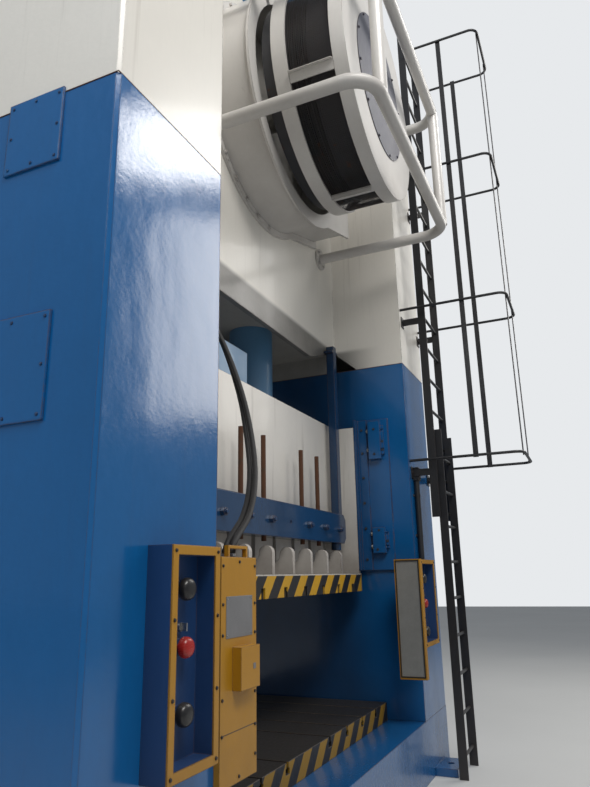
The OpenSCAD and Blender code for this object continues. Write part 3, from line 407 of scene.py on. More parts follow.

# %% [markdown]
# ## Dust, grime, runs and painted shade
#
# Dust settles in clouds below a height, and oil runs down in thin streaks, which are noise stretched along Z.
# A third mask is painted shade: it darkens the room between the uprights and under the crown, where little
# light reaches. It follows the place on the press, so it stays put from every side.

# %% Dust, grime, runs and painted shade
CLOUD_SCALE = 2.3
STREAK_STRETCH = (16, 16, 0.55)
STREAK_FROM, STREAK_TO = 0.56, 0.78
# Distances from the middle, and the height, between which the painted shade fades in
INSIDE_SHADE_DEPTH, INSIDE_SHADE_WIDTH, INSIDE_SHADE_TOP = (0.95, 0.42), (1.64, 1.60), (3.62, 3.57)

grime_and_shade_group, given, result = new_group(
    "Grime and painted shade",
    [("Low", FLOAT, 0.0), ("High", FLOAT, 1.0), ("Amount", FLOAT, 0.5), ("Run Amount", FLOAT, 0.2), PLACE],
    [("Settled", FLOAT), ("Runs", FLOAT), ("Inside", FLOAT)],
)
x, y, z = parts_of(grime_and_shade_group, given["Place"])
clouds = noise(grime_and_shade_group, given["Place"], CLOUD_SCALE, 5, 0.65)
low_part = remap(grime_and_shade_group, z, given["High"], given["Low"])
settled = multiply(grime_and_shade_group, multiply(grime_and_shade_group, low_part, clouds), given["Amount"])
streak = noise(grime_and_shade_group, stretched(grime_and_shade_group, given["Place"], STREAK_STRETCH), 1.0, 4, 0.7)
runs = multiply(grime_and_shade_group, remap(grime_and_shade_group, streak, STREAK_FROM, STREAK_TO), given["Run Amount"])
# Painted shade: darkest deep between the uprights and below the crown, where little light reaches
deep = remap(grime_and_shade_group, math_node(grime_and_shade_group, "ABSOLUTE", y), *INSIDE_SHADE_DEPTH)
between = remap(grime_and_shade_group, math_node(grime_and_shade_group, "ABSOLUTE", x), *INSIDE_SHADE_WIDTH)
below_crown = remap(grime_and_shade_group, z, *INSIDE_SHADE_TOP)
inside = multiply(grime_and_shade_group, multiply(grime_and_shade_group, deep, between), below_crown)
uneven = math_node(grime_and_shade_group, "MULTIPLY_ADD", clouds, 0.3, 0.75, clamp=True)
wire(grime_and_shade_group, settled, result["Settled"])
wire(grime_and_shade_group, runs, result["Runs"])
wire(grime_and_shade_group, multiply(grime_and_shade_group, inside, uneven), result["Inside"])
print("group:", grime_and_shade_group.name)

# %% [markdown]
# ## Paint
#
# Machine paint is a thick, glossy enamel laid over castings and plate. Close up it has an orange-peel skin,
# lighter scuffs and dark bare metal or rust along its corners. One function builds such a paint from its
# colour and from how hard its life was, so that blue, cream, yellow and black stay one family.

# %% Paint
RUST = (0.060, 0.022, 0.010)
DIRT = (0.040, 0.030, 0.022)
# Near-black colour of the painted shade inside the press
INSIDE_SHADE_COLOUR = (0.012, 0.011, 0.011)
GLOSS_SPREAD = 0.16
DIRT_ROUGHNESS, BARE_ROUGHNESS, COAT_ROUGHNESS = 0.45, 0.7, 0.12
PEEL_SCALE, PEEL_STRENGTH = 55, 0.35
WAVE_SCALE, WAVE_STRETCH = 3.2, (1, 1, 0.6)
CHIP_DEPTH = -0.6


def add_group(tree, group, place, **values):
    """A group placed in a material, with its own numbers. An underscore stands for a space in a name."""
    node = tree.nodes.new("ShaderNodeGroup")
    node.node_tree = group
    wire(tree, place, node.inputs["Place"])
    for label, value in values.items():
        wire(tree, value, node.inputs[label.replace("_", " ")])
    return node.outputs


def start_material(name):
    """A new material, its tree, its shader's inputs and the place on the object."""
    material = bpy.data.materials.new(name)
    material.use_nodes = True
    tree = material.node_tree
    place = tree.nodes.new("ShaderNodeTexCoord").outputs["Object"]
    return material, tree, tree.nodes["Principled BSDF"].inputs, place


def bump(tree, height, strength, distance, normal=None):
    """The normal that a height gives, laid over another normal."""
    node = tree.nodes.new("ShaderNodeBump")
    for label, value in (("Strength", strength), ("Distance", distance), ("Height", height)):
        wire(tree, value, node.inputs[label])
    if normal is not None:
        wire(tree, normal, node.inputs["Normal"])
    return node.outputs["Normal"]


def paint(name, colour, roughness=0.32, contrast=0.3, wear=0.35, edge=0.010, dirt=DIRT, low=0.0, high=1.2,
          dirty=0.5, runs=0.15, coat=0.25, peel=0.0012, wave=0.0, inside_shade=0.0):
    """Enamel on metal, with tone, worn edges, low grime and runs, and painted shade inside the press where asked."""
    material, tree, shader, place = start_material(name)
    tone = add_group(tree, tone_group, place, Colour=colour, Contrast=contrast)
    edges = add_group(tree, edge_group, place, Width=edge, Amount=wear)
    grime_and_shade = add_group(tree, grime_and_shade_group, place, Low=low, High=high, Amount=dirty, Run_Amount=runs)
    dirty_mask = math_node(tree, "MAXIMUM", grime_and_shade["Settled"], grime_and_shade["Runs"])
    soiled = blend_colours(tree, dirty_mask, tone["Colour"], dirt)
    # Painted shade: the room between the uprights and under the crown is darkened towards a near-black colour
    if inside_shade:
        soiled = blend_colours(tree, multiply(tree, grime_and_shade["Inside"], inside_shade), soiled, INSIDE_SHADE_COLOUR)
    wire(tree, blend_colours(tree, edges["Mask"], soiled, RUST), shader["Base Color"])

    rough = math_node(tree, "MULTIPLY_ADD", tone["Fine"], GLOSS_SPREAD, roughness - GLOSS_SPREAD / 2)
    rough = math_node(tree, "MULTIPLY_ADD", dirty_mask, DIRT_ROUGHNESS, rough, clamp=True)
    rough = math_node(tree, "MAXIMUM", rough, multiply(tree, edges["Mask"], BARE_ROUGHNESS))
    wire(tree, rough, shader["Roughness"])
    shader["Coat Weight"].default_value = coat
    shader["Coat Roughness"].default_value = COAT_ROUGHNESS

    surface = edges["Normal"]
    if wave:
        rolling = noise(tree, stretched(tree, place, WAVE_STRETCH), WAVE_SCALE, 2, 0.5)
        surface = bump(tree, rolling, 1.0, wave, surface)
    skin = math_node(tree, "MULTIPLY_ADD", edges["Mask"], CHIP_DEPTH, noise(tree, place, PEEL_SCALE, 2, 0.5))
    wire(tree, bump(tree, skin, PEEL_STRENGTH, peel, surface), shader["Normal"])
    return material


# %% [markdown]
# ## The press's paints
#
# Blue below and cream above are the machine's own colours. The blue is the glossiest, and it has a slight wave
# where it was rolled on by hand. The guard, the slide and the boxes had a harder life, so they get more runs,
# more wear or a lower gloss. Low and high give the heights between which dust has settled.

# %% Paint materials
# Blue and cream are darkened by painted shade in the room between the uprights and under the crown.
blue_paint = paint("blue_enamel", (0.004, 0.098, 0.285), roughness=0.16, contrast=0.42, wear=0.30, edge=0.012,
                   runs=0.10, wave=0.006, inside_shade=0.85)
light_blue_paint = paint("light_blue_enamel", (0.09, 0.22, 0.38), roughness=0.38, wear=0.4, edge=0.006, runs=0.35,
                         low=2.0, high=4.0)
cream_paint = paint("cream_enamel", (0.72, 0.69, 0.63), roughness=0.36, contrast=0.16, wear=0.18, edge=0.010,
                    dirt=(0.16, 0.12, 0.085), runs=0.20, low=2.6, high=3.7, dirty=0.35, inside_shade=0.92)
slide_paint = paint("slide_enamel", (0.66, 0.63, 0.58), roughness=0.42, contrast=0.2, wear=0.28, edge=0.008,
                    dirt=(0.085, 0.05, 0.03), runs=0.42, low=1.5, high=2.5, dirty=0.9)
guard_paint = paint("guard_enamel", (0.62, 0.60, 0.57), roughness=0.34, contrast=0.20, wear=0.26, edge=0.006,
                    dirt=(0.12, 0.08, 0.055), runs=0.24, low=3.9, high=5.3, dirty=0.55)
yellow_paint = paint("signal_yellow", (0.41, 0.195, 0.005), roughness=0.36, coat=0.08, contrast=0.35, wear=0.42,
                     edge=0.006, dirt=(0.05, 0.035, 0.02), low=0.3, high=1.9, dirty=0.7, runs=0.3)
black_paint = paint("black_enamel", (0.014, 0.014, 0.016), roughness=0.42, contrast=0.5, wear=0.25, edge=0.003,
                    dirt=(0.07, 0.055, 0.045), dirty=0.5, runs=0.1, coat=0.1)
box_blue = paint("box_blue", (0.009, 0.045, 0.145), roughness=0.4, contrast=0.4, wear=0.3, edge=0.005, dirty=0.7,
                 high=1.9)
disc_paint = paint("disc_enamel", (0.055, 0.057, 0.085), roughness=0.45, contrast=0.2, wear=0.2, edge=0.006,
                   runs=0.2, low=4.0, high=5.2)
print("paints made:", len(bpy.data.materials))

# %% [markdown]
# ## The floor's material
#
# Plain concrete is pale, a little patchy and nearly matte. The tone group does the patches, and a weak bump
# keeps the floor from looking like paper.

# %% Floor material
floor_material, floor_tree, floor_shader, floor_place = start_material("pale_floor")
floor_tone = add_group(floor_tree, tone_group, floor_place, Colour=(0.60, 0.60, 0.585), Contrast=0.16,
                       Patch_Scale=0.45)
wire(floor_tree, floor_tone["Colour"], floor_shader["Base Color"])
wire(floor_tree, math_node(floor_tree, "MULTIPLY_ADD", floor_tone["Fine"], 0.25, 0.55), floor_shader["Roughness"])
wire(floor_tree, bump(floor_tree, noise(floor_tree, floor_place, 30, 4), 0.25, 0.002), floor_shader["Normal"])
floor.data.materials.append(floor_material)
print("floor painted")

# %% [markdown]
# ## Striped edges
#
# The slide's flange and the bolster wear slanted yellow and black stripes on their outer edges, and plain steel
# or paint elsewhere. The stripes are a sawtooth that runs along the edges and leans with the height. A mask of
# the way a face looks keeps them off the top and underside, and a mask of the place keeps them out of the
# T-slots and the drop hole. A band along the top edge has a colour of its own, where the stripes have worn off.

# %% Stripes
STRIPE_PITCH = 0.252
STRIPE_LEAN = 0.9
EDGE_DEPTH = 0.012
STRIPE_BLACK = (0.011, 0.011, 0.012)
STRIPE_DIRT = (0.045, 0.03, 0.02)
STRIPE_BARE = (0.09, 0.07, 0.055)
CHIP_FROM, CHIP_TO = 0.66, 0.72


def striped(name, node, top_colour, band_z, band_colour, phase, wear=0.35, yellow=(0.55, 0.30, 0.010)):
    """Stripes on the outer edges of one plate. Walls of its slots and holes stay as its top is."""
    material, tree, shader, place = start_material(name)
    x, y, z = parts_of(tree, place)
    lean = math_node(tree, "MULTIPLY_ADD", z, -STRIPE_LEAN, math_node(tree, "ADD", x, y))
    turn = math_node(tree, "FRACT", math_node(tree, "MULTIPLY_ADD", lean, 1 / STRIPE_PITCH, phase))
    ragged = math_node(tree, "MULTIPLY_ADD", noise(tree, place, 18, 4), 0.05, -0.025)
    stripe = remap(tree, math_node(tree, "ADD", turn, ragged), 0.49, 0.51)
    stripes = blend_colours(tree, stripe, yellow, STRIPE_BLACK)
    edged = blend_colours(tree, math_node(tree, "GREATER_THAN", z, band_z), stripes, band_colour)

    looks = parts_of(tree, tree.nodes.new("ShaderNodeNewGeometry").outputs["Normal"])
    level = math_node(tree, "GREATER_THAN", math_node(tree, "ABSOLUTE", looks["Z"]), 0.5)
    low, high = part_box(node)
    inner_x = math_node(tree, "COMPARE", x, (low.x + high.x) / 2, (high.x - low.x) / 2 - EDGE_DEPTH)
    inner_y = math_node(tree, "COMPARE", y, (low.y + high.y) / 2, (high.y - low.y) / 2 - EDGE_DEPTH)
    plain = math_node(tree, "MAXIMUM", level, multiply(tree, inner_x, inner_y))

    tone = add_group(tree, tone_group, place, Contrast=0.5, Colour=blend_colours(tree, plain, edged, top_colour))
    edges = add_group(tree, edge_group, place, Width=0.008, Amount=wear)
    grime_and_shade = add_group(tree, grime_and_shade_group, place, Low=-2.0, High=3.0, Amount=0.5, Run_Amount=0.4)
    dirty_mask = math_node(tree, "MAXIMUM", grime_and_shade["Settled"], grime_and_shade["Runs"])
    soiled = blend_colours(tree, dirty_mask, tone["Colour"], STRIPE_DIRT)
    chips = remap(tree, noise(tree, place, 22, 6, 0.75), CHIP_FROM, CHIP_TO)
    bared = blend_colours(tree, math_node(tree, "MAXIMUM", edges["Mask"], chips), soiled, STRIPE_BARE)
    wire(tree, bared, shader["Base Color"])
    wire(tree, math_node(tree, "MULTIPLY_ADD", tone["Fine"], 0.3, 0.32), shader["Roughness"])
    height = math_node(tree, "SUBTRACT", noise(tree, place, 60, 3), chips)
    wire(tree, bump(tree, height, 0.4, 0.0012, edges["Normal"]), shader["Normal"])
    return material


slide_stripes = striped("slide_stripes", "slide_plate", top_colour=(0.10, 0.085, 0.07), band_z=1.557,
                        band_colour=(0.50, 0.47, 0.42), phase=0.2)
bolster_stripes = striped("bolster_stripes", "bolster_plate", top_colour=(0.022, 0.021, 0.020), band_z=0.562,
                          band_colour=(0.032, 0.029, 0.025), phase=0.55, wear=0.4, yellow=(0.30, 0.165, 0.008))
print("stripes", STRIPE_PITCH, "m apart")

# %% [markdown]
# ## Bare metals
#
# Machined steel is bright where parts rub and brown where oil has dried. Cast iron is dark, with a sandy skin.
# The stop rods on the knock-out beam are simply rusty. Steel gets a full Metallic value and rust none, and
# the mask between them is broken noise, so that rust eats into the steel in patches.

# %% Metal materials
OIL_BROWN = (0.03, 0.022, 0.014)
SAND_SCALE, SAND_DEPTH = 120, 0.0006


def metal(name, colour, roughness, rust=0.3, rust_colour=(0.12, 0.045, 0.018), metallic=1.0, scale=7.0, oil=0.3):
    """Bare metal with dried oil and patches of rust."""
    material, tree, shader, place = start_material(name)
    tone = add_group(tree, tone_group, place, Colour=colour, Contrast=0.5, Patch_Scale=scale * 0.3)
    eaten = noise(tree, place, scale, 7, 0.7)
    rusted = remap(tree, eaten, 0.72 - rust * 0.5, 0.80 - rust * 0.5)
    oily = multiply(tree, remap(tree, noise(tree, place, scale * 0.4, 3), 0.45, 0.7), oil)
    oiled = blend_colours(tree, oily, tone["Colour"], OIL_BROWN)
    wire(tree, blend_colours(tree, rusted, oiled, rust_colour), shader["Base Color"])
    wire(tree, math_node(tree, "MULTIPLY_ADD", rusted, -metallic, metallic), shader["Metallic"])
    clean_rough = math_node(tree, "MULTIPLY_ADD", tone["Fine"], 0.2, roughness - 0.1)
    wire(tree, math_node(tree, "MULTIPLY_ADD", rusted, 0.5, clean_rough), shader["Roughness"])
    sandy = math_node(tree, "ADD", noise(tree, place, SAND_SCALE, 3), rusted)
    wire(tree, bump(tree, sandy, 0.5, SAND_DEPTH), shader["Normal"])
    return material


bright_steel = metal("machined_steel", (0.50, 0.49, 0.47), 0.32, rust=0.1)
rusty_steel = metal("rusty_rod", (0.10, 0.07, 0.05), 0.6, rust=0.75, rust_colour=(0.085, 0.036, 0.018), scale=14)
dark_iron = metal("dark_iron", (0.075, 0.075, 0.08), 0.5, rust=0.25, metallic=0.8)
gear_steel = metal("gear_steel", (0.22, 0.22, 0.23), 0.35, rust=0.05, oil=0.7)
print("metals:", *(m.name for m in (bright_steel, rusty_steel, dark_iron, gear_steel)))

# %% [markdown]
# ## Rubber and plastics
#
# Button heads are hard gloss plastic with fine scratches and finger grease; the hoses are matte rubber with
# a dusty upper side. One function makes both, from how rough, scratched and dusty each one is.

# %% Plastic and rubber materials
DUST = (0.20, 0.17, 0.14)
SCRATCH_SCALE, SCRATCH_STRETCH, SCRATCH_DEPTH = 60, (1, 1, 7), 0.0004


def plastic(name, colour, roughness, scratch=0.3, dust=0.2, dust_colour=DUST):
    """Plastic or rubber with scratches, and with dust on the sides that look up."""
    material, tree, shader, place = start_material(name)
    tone = add_group(tree, tone_group, place, Colour=colour, Contrast=0.35, Patch_Scale=9.0)
    looks = parts_of(tree, tree.nodes.new("ShaderNodeNewGeometry").outputs["Normal"])
    on_top = math_node(tree, "MULTIPLY_ADD", remap(tree, looks["Z"], 0.1, 0.9), 0.8, 0.2)
    dusty = multiply(tree, on_top, multiply(tree, noise(tree, place, 40, 4), dust))
    wire(tree, blend_colours(tree, dusty, tone["Colour"], dust_colour), shader["Base Color"])
    lines = noise(tree, stretched(tree, place, SCRATCH_STRETCH), SCRATCH_SCALE, 5, 0.8)
    scratches = remap(tree, lines, 0.5, 0.75)
    wire(tree, math_node(tree, "MULTIPLY_ADD", scratches, scratch, roughness), shader["Roughness"])
    wire(tree, bump(tree, scratches, 0.15, SCRATCH_DEPTH), shader["Normal"])
    return material


black_plastic = plastic("black_plastic", (0.012, 0.012, 0.013), 0.28)
red_plastic = plastic("red_plastic", (0.33, 0.012, 0.008), 0.26)
hose_rubber = plastic("hose_rubber", (0.007, 0.007, 0.008), 0.62, dust=0.06)
belt_rubber = plastic("belt_rubber", (0.011, 0.011, 0.011), 0.6, dust=0.15)
plate_grey = plastic("plate_grey", (0.16, 0.16, 0.165), 0.45, dust=0.3)
window_plastic = plastic("window_plastic", (0.20, 0.20, 0.19), 0.18, scratch=0.35, dust=0.5,
                         dust_colour=(0.34, 0.33, 0.30))
print("materials in all:", len(bpy.data.materials))

# %% [markdown]
# ## A finish for each solid
#
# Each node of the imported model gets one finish. The list is written by material, so that it is easy to see
# that no node is left out, and the count that it prints has to be the number of nodes.

# %% Give each solid its finish
FINISH = {
    blue_paint: ["bed", "foot_lugs", "left_upright", "right_upright", "side_covers", "knockout_beam", "clamp_bolts",
                 "hanger_tubes", "gib_plates", "gib_blocks"],
    light_blue_paint: ["adjuster_plate", "adjuster_housing", "left_plunger", "right_plunger", "motor"],
    cream_paint: ["crown", "crown_towers"],
    guard_paint: ["drum_housing", "guard_frame", "guard_rail"],
    slide_paint: ["slide_body", "knockout_bars"],
    slide_stripes: ["slide_plate"],
    bolster_stripes: ["bolster_plate"],
    yellow_paint: ["box_frames", "curtain_boxes"],
    black_paint: ["upper_ladder", "upper_rungs", "lower_ladder", "cage", "conduit", "guard_mesh"],
    box_blue: ["left_control_box", "right_control_box"],
    disc_paint: ["guard_disc"],
    bright_steel: ["drive_shaft", "gear_pins", "gib_screws", "left_key", "right_key"],
    rusty_steel: ["knockout_rods"],
    dark_iron: ["tie_rods", "tie_rod_nuts", "flywheel", "motor_pulley"],
    gear_steel: ["pinion", "clutch_disc", "left_gear", "right_gear", "left_con_rod", "right_con_rod"],
    belt_rubber: ["drive_belts"],
    black_plastic: ["left_upper_palm", "left_lower_palm", "right_upper_palm", "right_lower_palm"],
    red_plastic: ["left_mushroom", "right_mushroom"],
    window_plastic: ["curtain_windows"],
    hose_rubber: ["hoses"],
}
for material, names in FINISH.items():
    for name in names:
        nodes[name].data.materials.clear()
        nodes[name].data.materials.append(material)
for hose in hoses:
    hose.data.materials.append(hose_rubber)
print("finished", sum(len(v) for v in FINISH.values()), "of", len(nodes), "nodes")

# %% [markdown]
# ## Bolt heads
#
# A press is held together by hundreds of bolts. One Geometry Nodes tree makes them all: it takes a mesh of
# loose points, each of which stores the way it faces, and puts a hexagon head with a washer on every one.
# Modelling each bolt by hand would give the same look for far more work, and an array could not follow both
# flanges and covers. Three helpers start a tree, add a node to it and put a vector together.

# %% Geometry tools
def new_tree(name, inputs):
    """A Geometry Nodes tree that takes Geometry and the named inputs: the tree, its inputs and its outputs."""
    tree = bpy.data.node_groups.new(name, "GeometryNodeTree")
    tree.interface.new_socket("Geometry", in_out="INPUT", socket_type="NodeSocketGeometry")
    for label, kind, value in inputs:
        socket = tree.interface.new_socket(label, in_out="INPUT", socket_type=kind)
        if value is not None:
            socket.default_value = value
    tree.interface.new_socket("Geometry", in_out="OUTPUT", socket_type="NodeSocketGeometry")
    return tree, tree.nodes.new("NodeGroupInput").outputs, tree.nodes.new("NodeGroupOutput").inputs


def add(tree, kind, links=(), **settings):
    """A node and its outputs. Links are (socket name or number, a value or where it comes from)."""
    node = tree.nodes.new(kind)
    for label, value in settings.items():
        setattr(node, label, value)
    for socket, value in links:
        wire(tree, value, node.inputs[socket])
    return node.outputs


def combine(tree, **parts):
    """A vector made of X, Y and Z."""
    return add(tree, "ShaderNodeCombineXYZ", list(parts.items()))[0]


INTEGER, MATERIAL = "NodeSocketInt", "NodeSocketMaterial"
print("geometry tools ready")

# %% [markdown]
# ## The shape of one bolt
#
# A washer, a hexagon and a low round tip are three cylinders on top of each other. Their heights are shares of
# the head's height, so one number scales the bolt. The washer is centred on the point, which sinks half of it
# into the plate and leaves no gap.

# %% One bolt
WASHER_SHARE, TIP_SHARE, TIP_WIDTH = 0.22, 0.16, 0.80
HEAD_LIFT, TIP_LIFT = 0.60, 1.16
WASHER_SIDES, TIP_SIDES = 18, 16

bolt_tree, size, bolt_result = new_tree(
    "Bolt heads",
    [
        ("Head Radius", FLOAT, 0.012),
        ("Head Height", FLOAT, 0.010),
        ("Washer Radius", FLOAT, 0.017),
        ("Sides", INTEGER, 6),
        ("Seed", INTEGER, 4),
        ("Material", MATERIAL, None),
    ],
)


def cylinder(sides, radius, depth):
    links = [("Vertices", sides), ("Radius", radius), ("Depth", depth)]
    return add(bolt_tree, "GeometryNodeMeshCylinder", links)["Mesh"]


def raised(piece, lift):
    links = [("Geometry", piece), ("Translation", lift)]
    return add(bolt_tree, "GeometryNodeTransform", links)[0]


washer = cylinder(WASHER_SIDES, size["Washer Radius"], multiply(bolt_tree, size["Head Height"], WASHER_SHARE))
head = cylinder(size["Sides"], size["Head Radius"], size["Head Height"])
tip_radius = multiply(bolt_tree, size["Head Radius"], TIP_WIDTH)
tip = cylinder(TIP_SIDES, tip_radius, multiply(bolt_tree, size["Head Height"], TIP_SHARE))
head_lift = combine(bolt_tree, Z=multiply(bolt_tree, size["Head Height"], HEAD_LIFT))
tip_lift = combine(bolt_tree, Z=multiply(bolt_tree, size["Head Height"], TIP_LIFT))
stack = [(0, washer), (0, raised(head, head_lift)), (0, raised(tip, tip_lift))]
bolt = add(bolt_tree, "GeometryNodeJoinGeometry", stack)[0]
print("bolt nodes:", len(bolt_tree.nodes))

# %% [markdown]
# ## A bolt on every point
#
# The bolt is turned to face the way its point says, and then spun round its own axis by a random angle, since
# no two real bolts come to rest at the same angle. Realizing the instances gives a plain mesh.

# %% Bolts on points
HALF_TURN = 3.14159

facing = add(bolt_tree, "GeometryNodeInputNamedAttribute", [("Name", "facing")], data_type="FLOAT_VECTOR")
aim = add(bolt_tree, "FunctionNodeAlignRotationToVector", [("Vector", facing["Attribute"])], axis="Z")[0]
links = [("Points", size["Geometry"]), ("Instance", bolt), ("Rotation", aim)]
placed = add(bolt_tree, "GeometryNodeInstanceOnPoints", links)[0]
spin = add(bolt_tree, "FunctionNodeRandomValue", [("Seed", size["Seed"]), (3, HALF_TURN)], data_type="FLOAT")[1]
links = [("Instances", placed), ("Rotation", combine(bolt_tree, Z=spin))]
spun = add(bolt_tree, "GeometryNodeRotateInstances", links)[0]
real = add(bolt_tree, "GeometryNodeRealizeInstances", [("Geometry", spun)])[0]
links = [("Geometry", real), ("Material", size["Material"])]
wire(bolt_tree, add(bolt_tree, "GeometryNodeSetMaterial", links)[0], bolt_result[0])
print("bolt nodes:", len(bolt_tree.nodes))

# %% [markdown]
# ## From a tree to a piece
#
# A tree runs as a modifier on a carrier object. The result is taken off as a mesh of its own, which rides on
# the frame with one material, and the carrier is thrown away.

# %% Grow pieces
def grow(name, tree, source, slot, replaces=None, **inputs):
    """Runs a tree on a source mesh and keeps the result as a plain mesh that rides on the frame."""
    carrier = bpy.data.objects.new(name + "_source", source)
    bpy.context.scene.collection.objects.link(carrier)
    modifier = carrier.modifiers.new("grow", "NODES")
    modifier.node_group = tree
    sockets = {item.name: item.identifier for item in tree.interface.items_tree if item.in_out == "INPUT"}
    for label, value in inputs.items():
        modifier[sockets[label.replace("_", " ")]] = value
    depsgraph = bpy.context.evaluated_depsgraph_get()
    grown = carrier.evaluated_get(depsgraph)
    mesh = bpy.data.meshes.new_from_object(grown, preserve_all_data_layers=False, depsgraph=depsgraph)
    bpy.data.objects.remove(carrier)
    piece = bpy.data.objects.new(name, mesh)
    bpy.context.scene.collection.objects.link(piece)
    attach(piece, "frame")
    if replaces:
        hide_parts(replaces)
    print(name, len(mesh.polygons), "faces")


def points_mesh(name, places):
    """Loose points, each with the way it faces."""
    mesh = bpy.data.meshes.new(name)
    mesh.from_pydata([p for p, _ in places], [], [])
    store = mesh.attributes.new("facing", "FLOAT_VECTOR", "POINT")
    store.data.foreach_set("vector", [c for _, n in places for c in n])
    return mesh


def bolts(name, places, radius, height, material, slot, sides=6, washer=1.4, seed=4):
    """Bolt heads at (place, way it faces). Washer is its radius as a multiple of the head's."""
    grow(name, bolt_tree, points_mesh(name, places), slot, Head_Radius=radius, Head_Height=height,
         Washer_Radius=radius * washer, Sides=sides, Seed=seed, Material=material)


# %% [markdown]
# ## Bolts on the side covers and round the drum
#
# Covers are held by small round screws near their corners and at the middle of each side. The drum housing has
# a round flange that is bolted to the crown, apart from its lower right, where the flange isn't round.

# %% Cover and drum bolts
FRONT, LEFT, RIGHT, UP, DOWN = (0, -1, 0), (-1, 0, 0), (1, 0, 0), (0, 0, 1), (0, 0, -1)
# The lower front corner (y, z), width and height of the two covers on each side
COVERS = [(-0.840, 3.093, 0.282, 0.327), (-0.868, 2.074, 0.360, 0.400)]
COVER_INSET = 0.022
DRUM_X, DRUM_Z = 0.12, 5.09
FLANGE_RADIUS, FLANGE_DEPTH = 0.896, 0.022


def points_round(x0, x1, z0, z1, count=2):
    """Points along the four edges of a rectangle, in order."""
    found = {(x0 + (x1 - x0) * i / count, z) for i in range(count + 1) for z in (z0, z1)}
    found |= {(x, z0 + (z1 - z0) * i / count) for i in range(count + 1) for x in (x0, x1)}
    return sorted(found)


def round_drum(radius, y, degrees):
    """A place on a circle round the flywheel's axis."""
    a = math.radians(degrees)
    return (DRUM_X + radius * math.cos(a), y, DRUM_Z + radius * math.sin(a))


cover_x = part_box("side_covers")[1].x
cover_bolts = []
for y, z, width, height in COVERS:
    inner = (y + COVER_INSET, y + width - COVER_INSET, z + COVER_INSET, z + height - COVER_INSET)
    for side, way in ((-1, LEFT), (1, RIGHT)):
        cover_bolts += [((side * cover_x, *p), way) for p in points_round(*inner)]
bolts("cover_screws", cover_bolts, 0.0055, 0.0035, blue_paint, "blue_paint", sides=16, washer=1.25)

flange_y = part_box("drum_housing")[1].y - FLANGE_DEPTH
drum_bolts = [(round_drum(FLANGE_RADIUS, flange_y, d), FRONT) for d in range(-98, 260, 12) if not -80 < d < 30]
bolts("drum_flange_bolts", drum_bolts, 0.013, 0.012, guard_paint, "cream_paint")

# %% [markdown]
# ## Bolts on the guard, the ladder and the motor
#
# The rail's four feet have four bolts each, the guard's disc has a ring of twelve, the ladder's brackets two
# each, and the motor stands on four. All are given by their places, since the bolts are what shows where one
# thing is joined to another.

# %% Guard, ladder and motor bolts
RAIL_FEET = [(x, z) for x in (-0.8, 1.29) for z in (4.43, 5.55)]
RAIL_SPREAD, RAIL_FACE = 0.052, -0.468
DISC_RADIUS, DISC_FACE = 0.515, -1.454
LADDER_X, LADDER_Z = (1.706, 2.290), (2.41, 3.82, 5.23)
LADDER_SPREAD, LADDER_FACE = 0.026, -1.108
MOTOR_X, MOTOR_Y, MOTOR_FOOT = 0.232, (-0.36, -0.10), 0.03

rail_places = [
    ((x + RAIL_SPREAD * a, RAIL_FACE, z + RAIL_SPREAD * b), FRONT)
    for x, z in RAIL_FEET for a in (-1, 1) for b in (-1, 1)
]
bolts("rail_flange_bolts", rail_places, 0.011, 0.011, guard_paint, "cream_paint", seed=9)

ladder_places = [
    ((x + dx, LADDER_FACE, z), FRONT) for x in LADDER_X for z in LADDER_Z for dx in (-LADDER_SPREAD, LADDER_SPREAD)
]
bolts("ladder_bolts", ladder_places, 0.010, 0.009, black_paint, "black_paint", washer=1.2, seed=5)

disc_places = [(round_drum(DISC_RADIUS, DISC_FACE, d), FRONT) for d in range(15, 375, 30)]
bolts("disc_bolts", disc_places, 0.009, 0.008, disc_paint, "grey_plastic", seed=2)

crown_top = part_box("crown")[1].z
motor_places = [((DRUM_X + x, y, crown_top + MOTOR_FOOT), UP) for x in (-MOTOR_X, MOTOR_X) for y in MOTOR_Y]
bolts("motor_bolts", motor_places, 0.012, 0.012, dark_iron, "machined_steel", seed=8)

# %% [markdown]
# ## Screws in the gibs
#
# The gibs are the straight guides that the slide runs in, one at each corner. Their strips and blocks are
# screwed from inside the opening, so the screws face the middle of the press. The blocks' screws sit on two
# faces, one of them set back by a step.

# %% Gib screws
INWARD = {-1: RIGHT, 1: LEFT}
CORNERS = [(side, face) for side in (-1, 1) for face in (-1, 1)]
STRIP_FACE, STRIP_Y, STRIP_Z = 1.576, 0.694, (1.68, 1.94, 2.16, 2.38, 2.60, 2.81)
BLOCK_SCREWS = [
    (1.544, 0.816, 2.803), (1.544, 0.813, 2.581), (1.544, 0.819, 1.920), (1.544, 0.800, 1.760),
    (1.564, 0.884, 2.691), (1.564, 0.884, 2.615), (1.564, 0.884, 1.828),
]

strip_places = [((side * STRIP_FACE, face * STRIP_Y, z), INWARD[side]) for side, face in CORNERS for z in STRIP_Z]
bolts("gib_strip_screws", strip_places, 0.011, 0.007, dark_iron, "machined_steel", washer=1.05, seed=3)
block_places = [((side * x, face * y, z), INWARD[side]) for side, face in CORNERS for x, y, z in BLOCK_SCREWS]
bolts("block_screws", block_places, 0.010, 0.004, dark_iron, "machined_steel", sides=16, washer=1.15, seed=8)

# %% [markdown]
# ## The wire guard round the flywheel
#
# The solid model has a thin closed band between the guard's rings. The real thing is welded wire: hoops round
# the flywheel and bars along it. A Geometry Nodes tree draws one arc, copies it along the depth for the hoops,
# then puts a straight wire on every point of the same arc. The sector over the top stays open for the belts.

# %% Wire guard tree
HOOP_POINTS = 180
WIRE_SIDES = 5
UPRIGHT_TURN = (math.pi / 2, 0, 0)

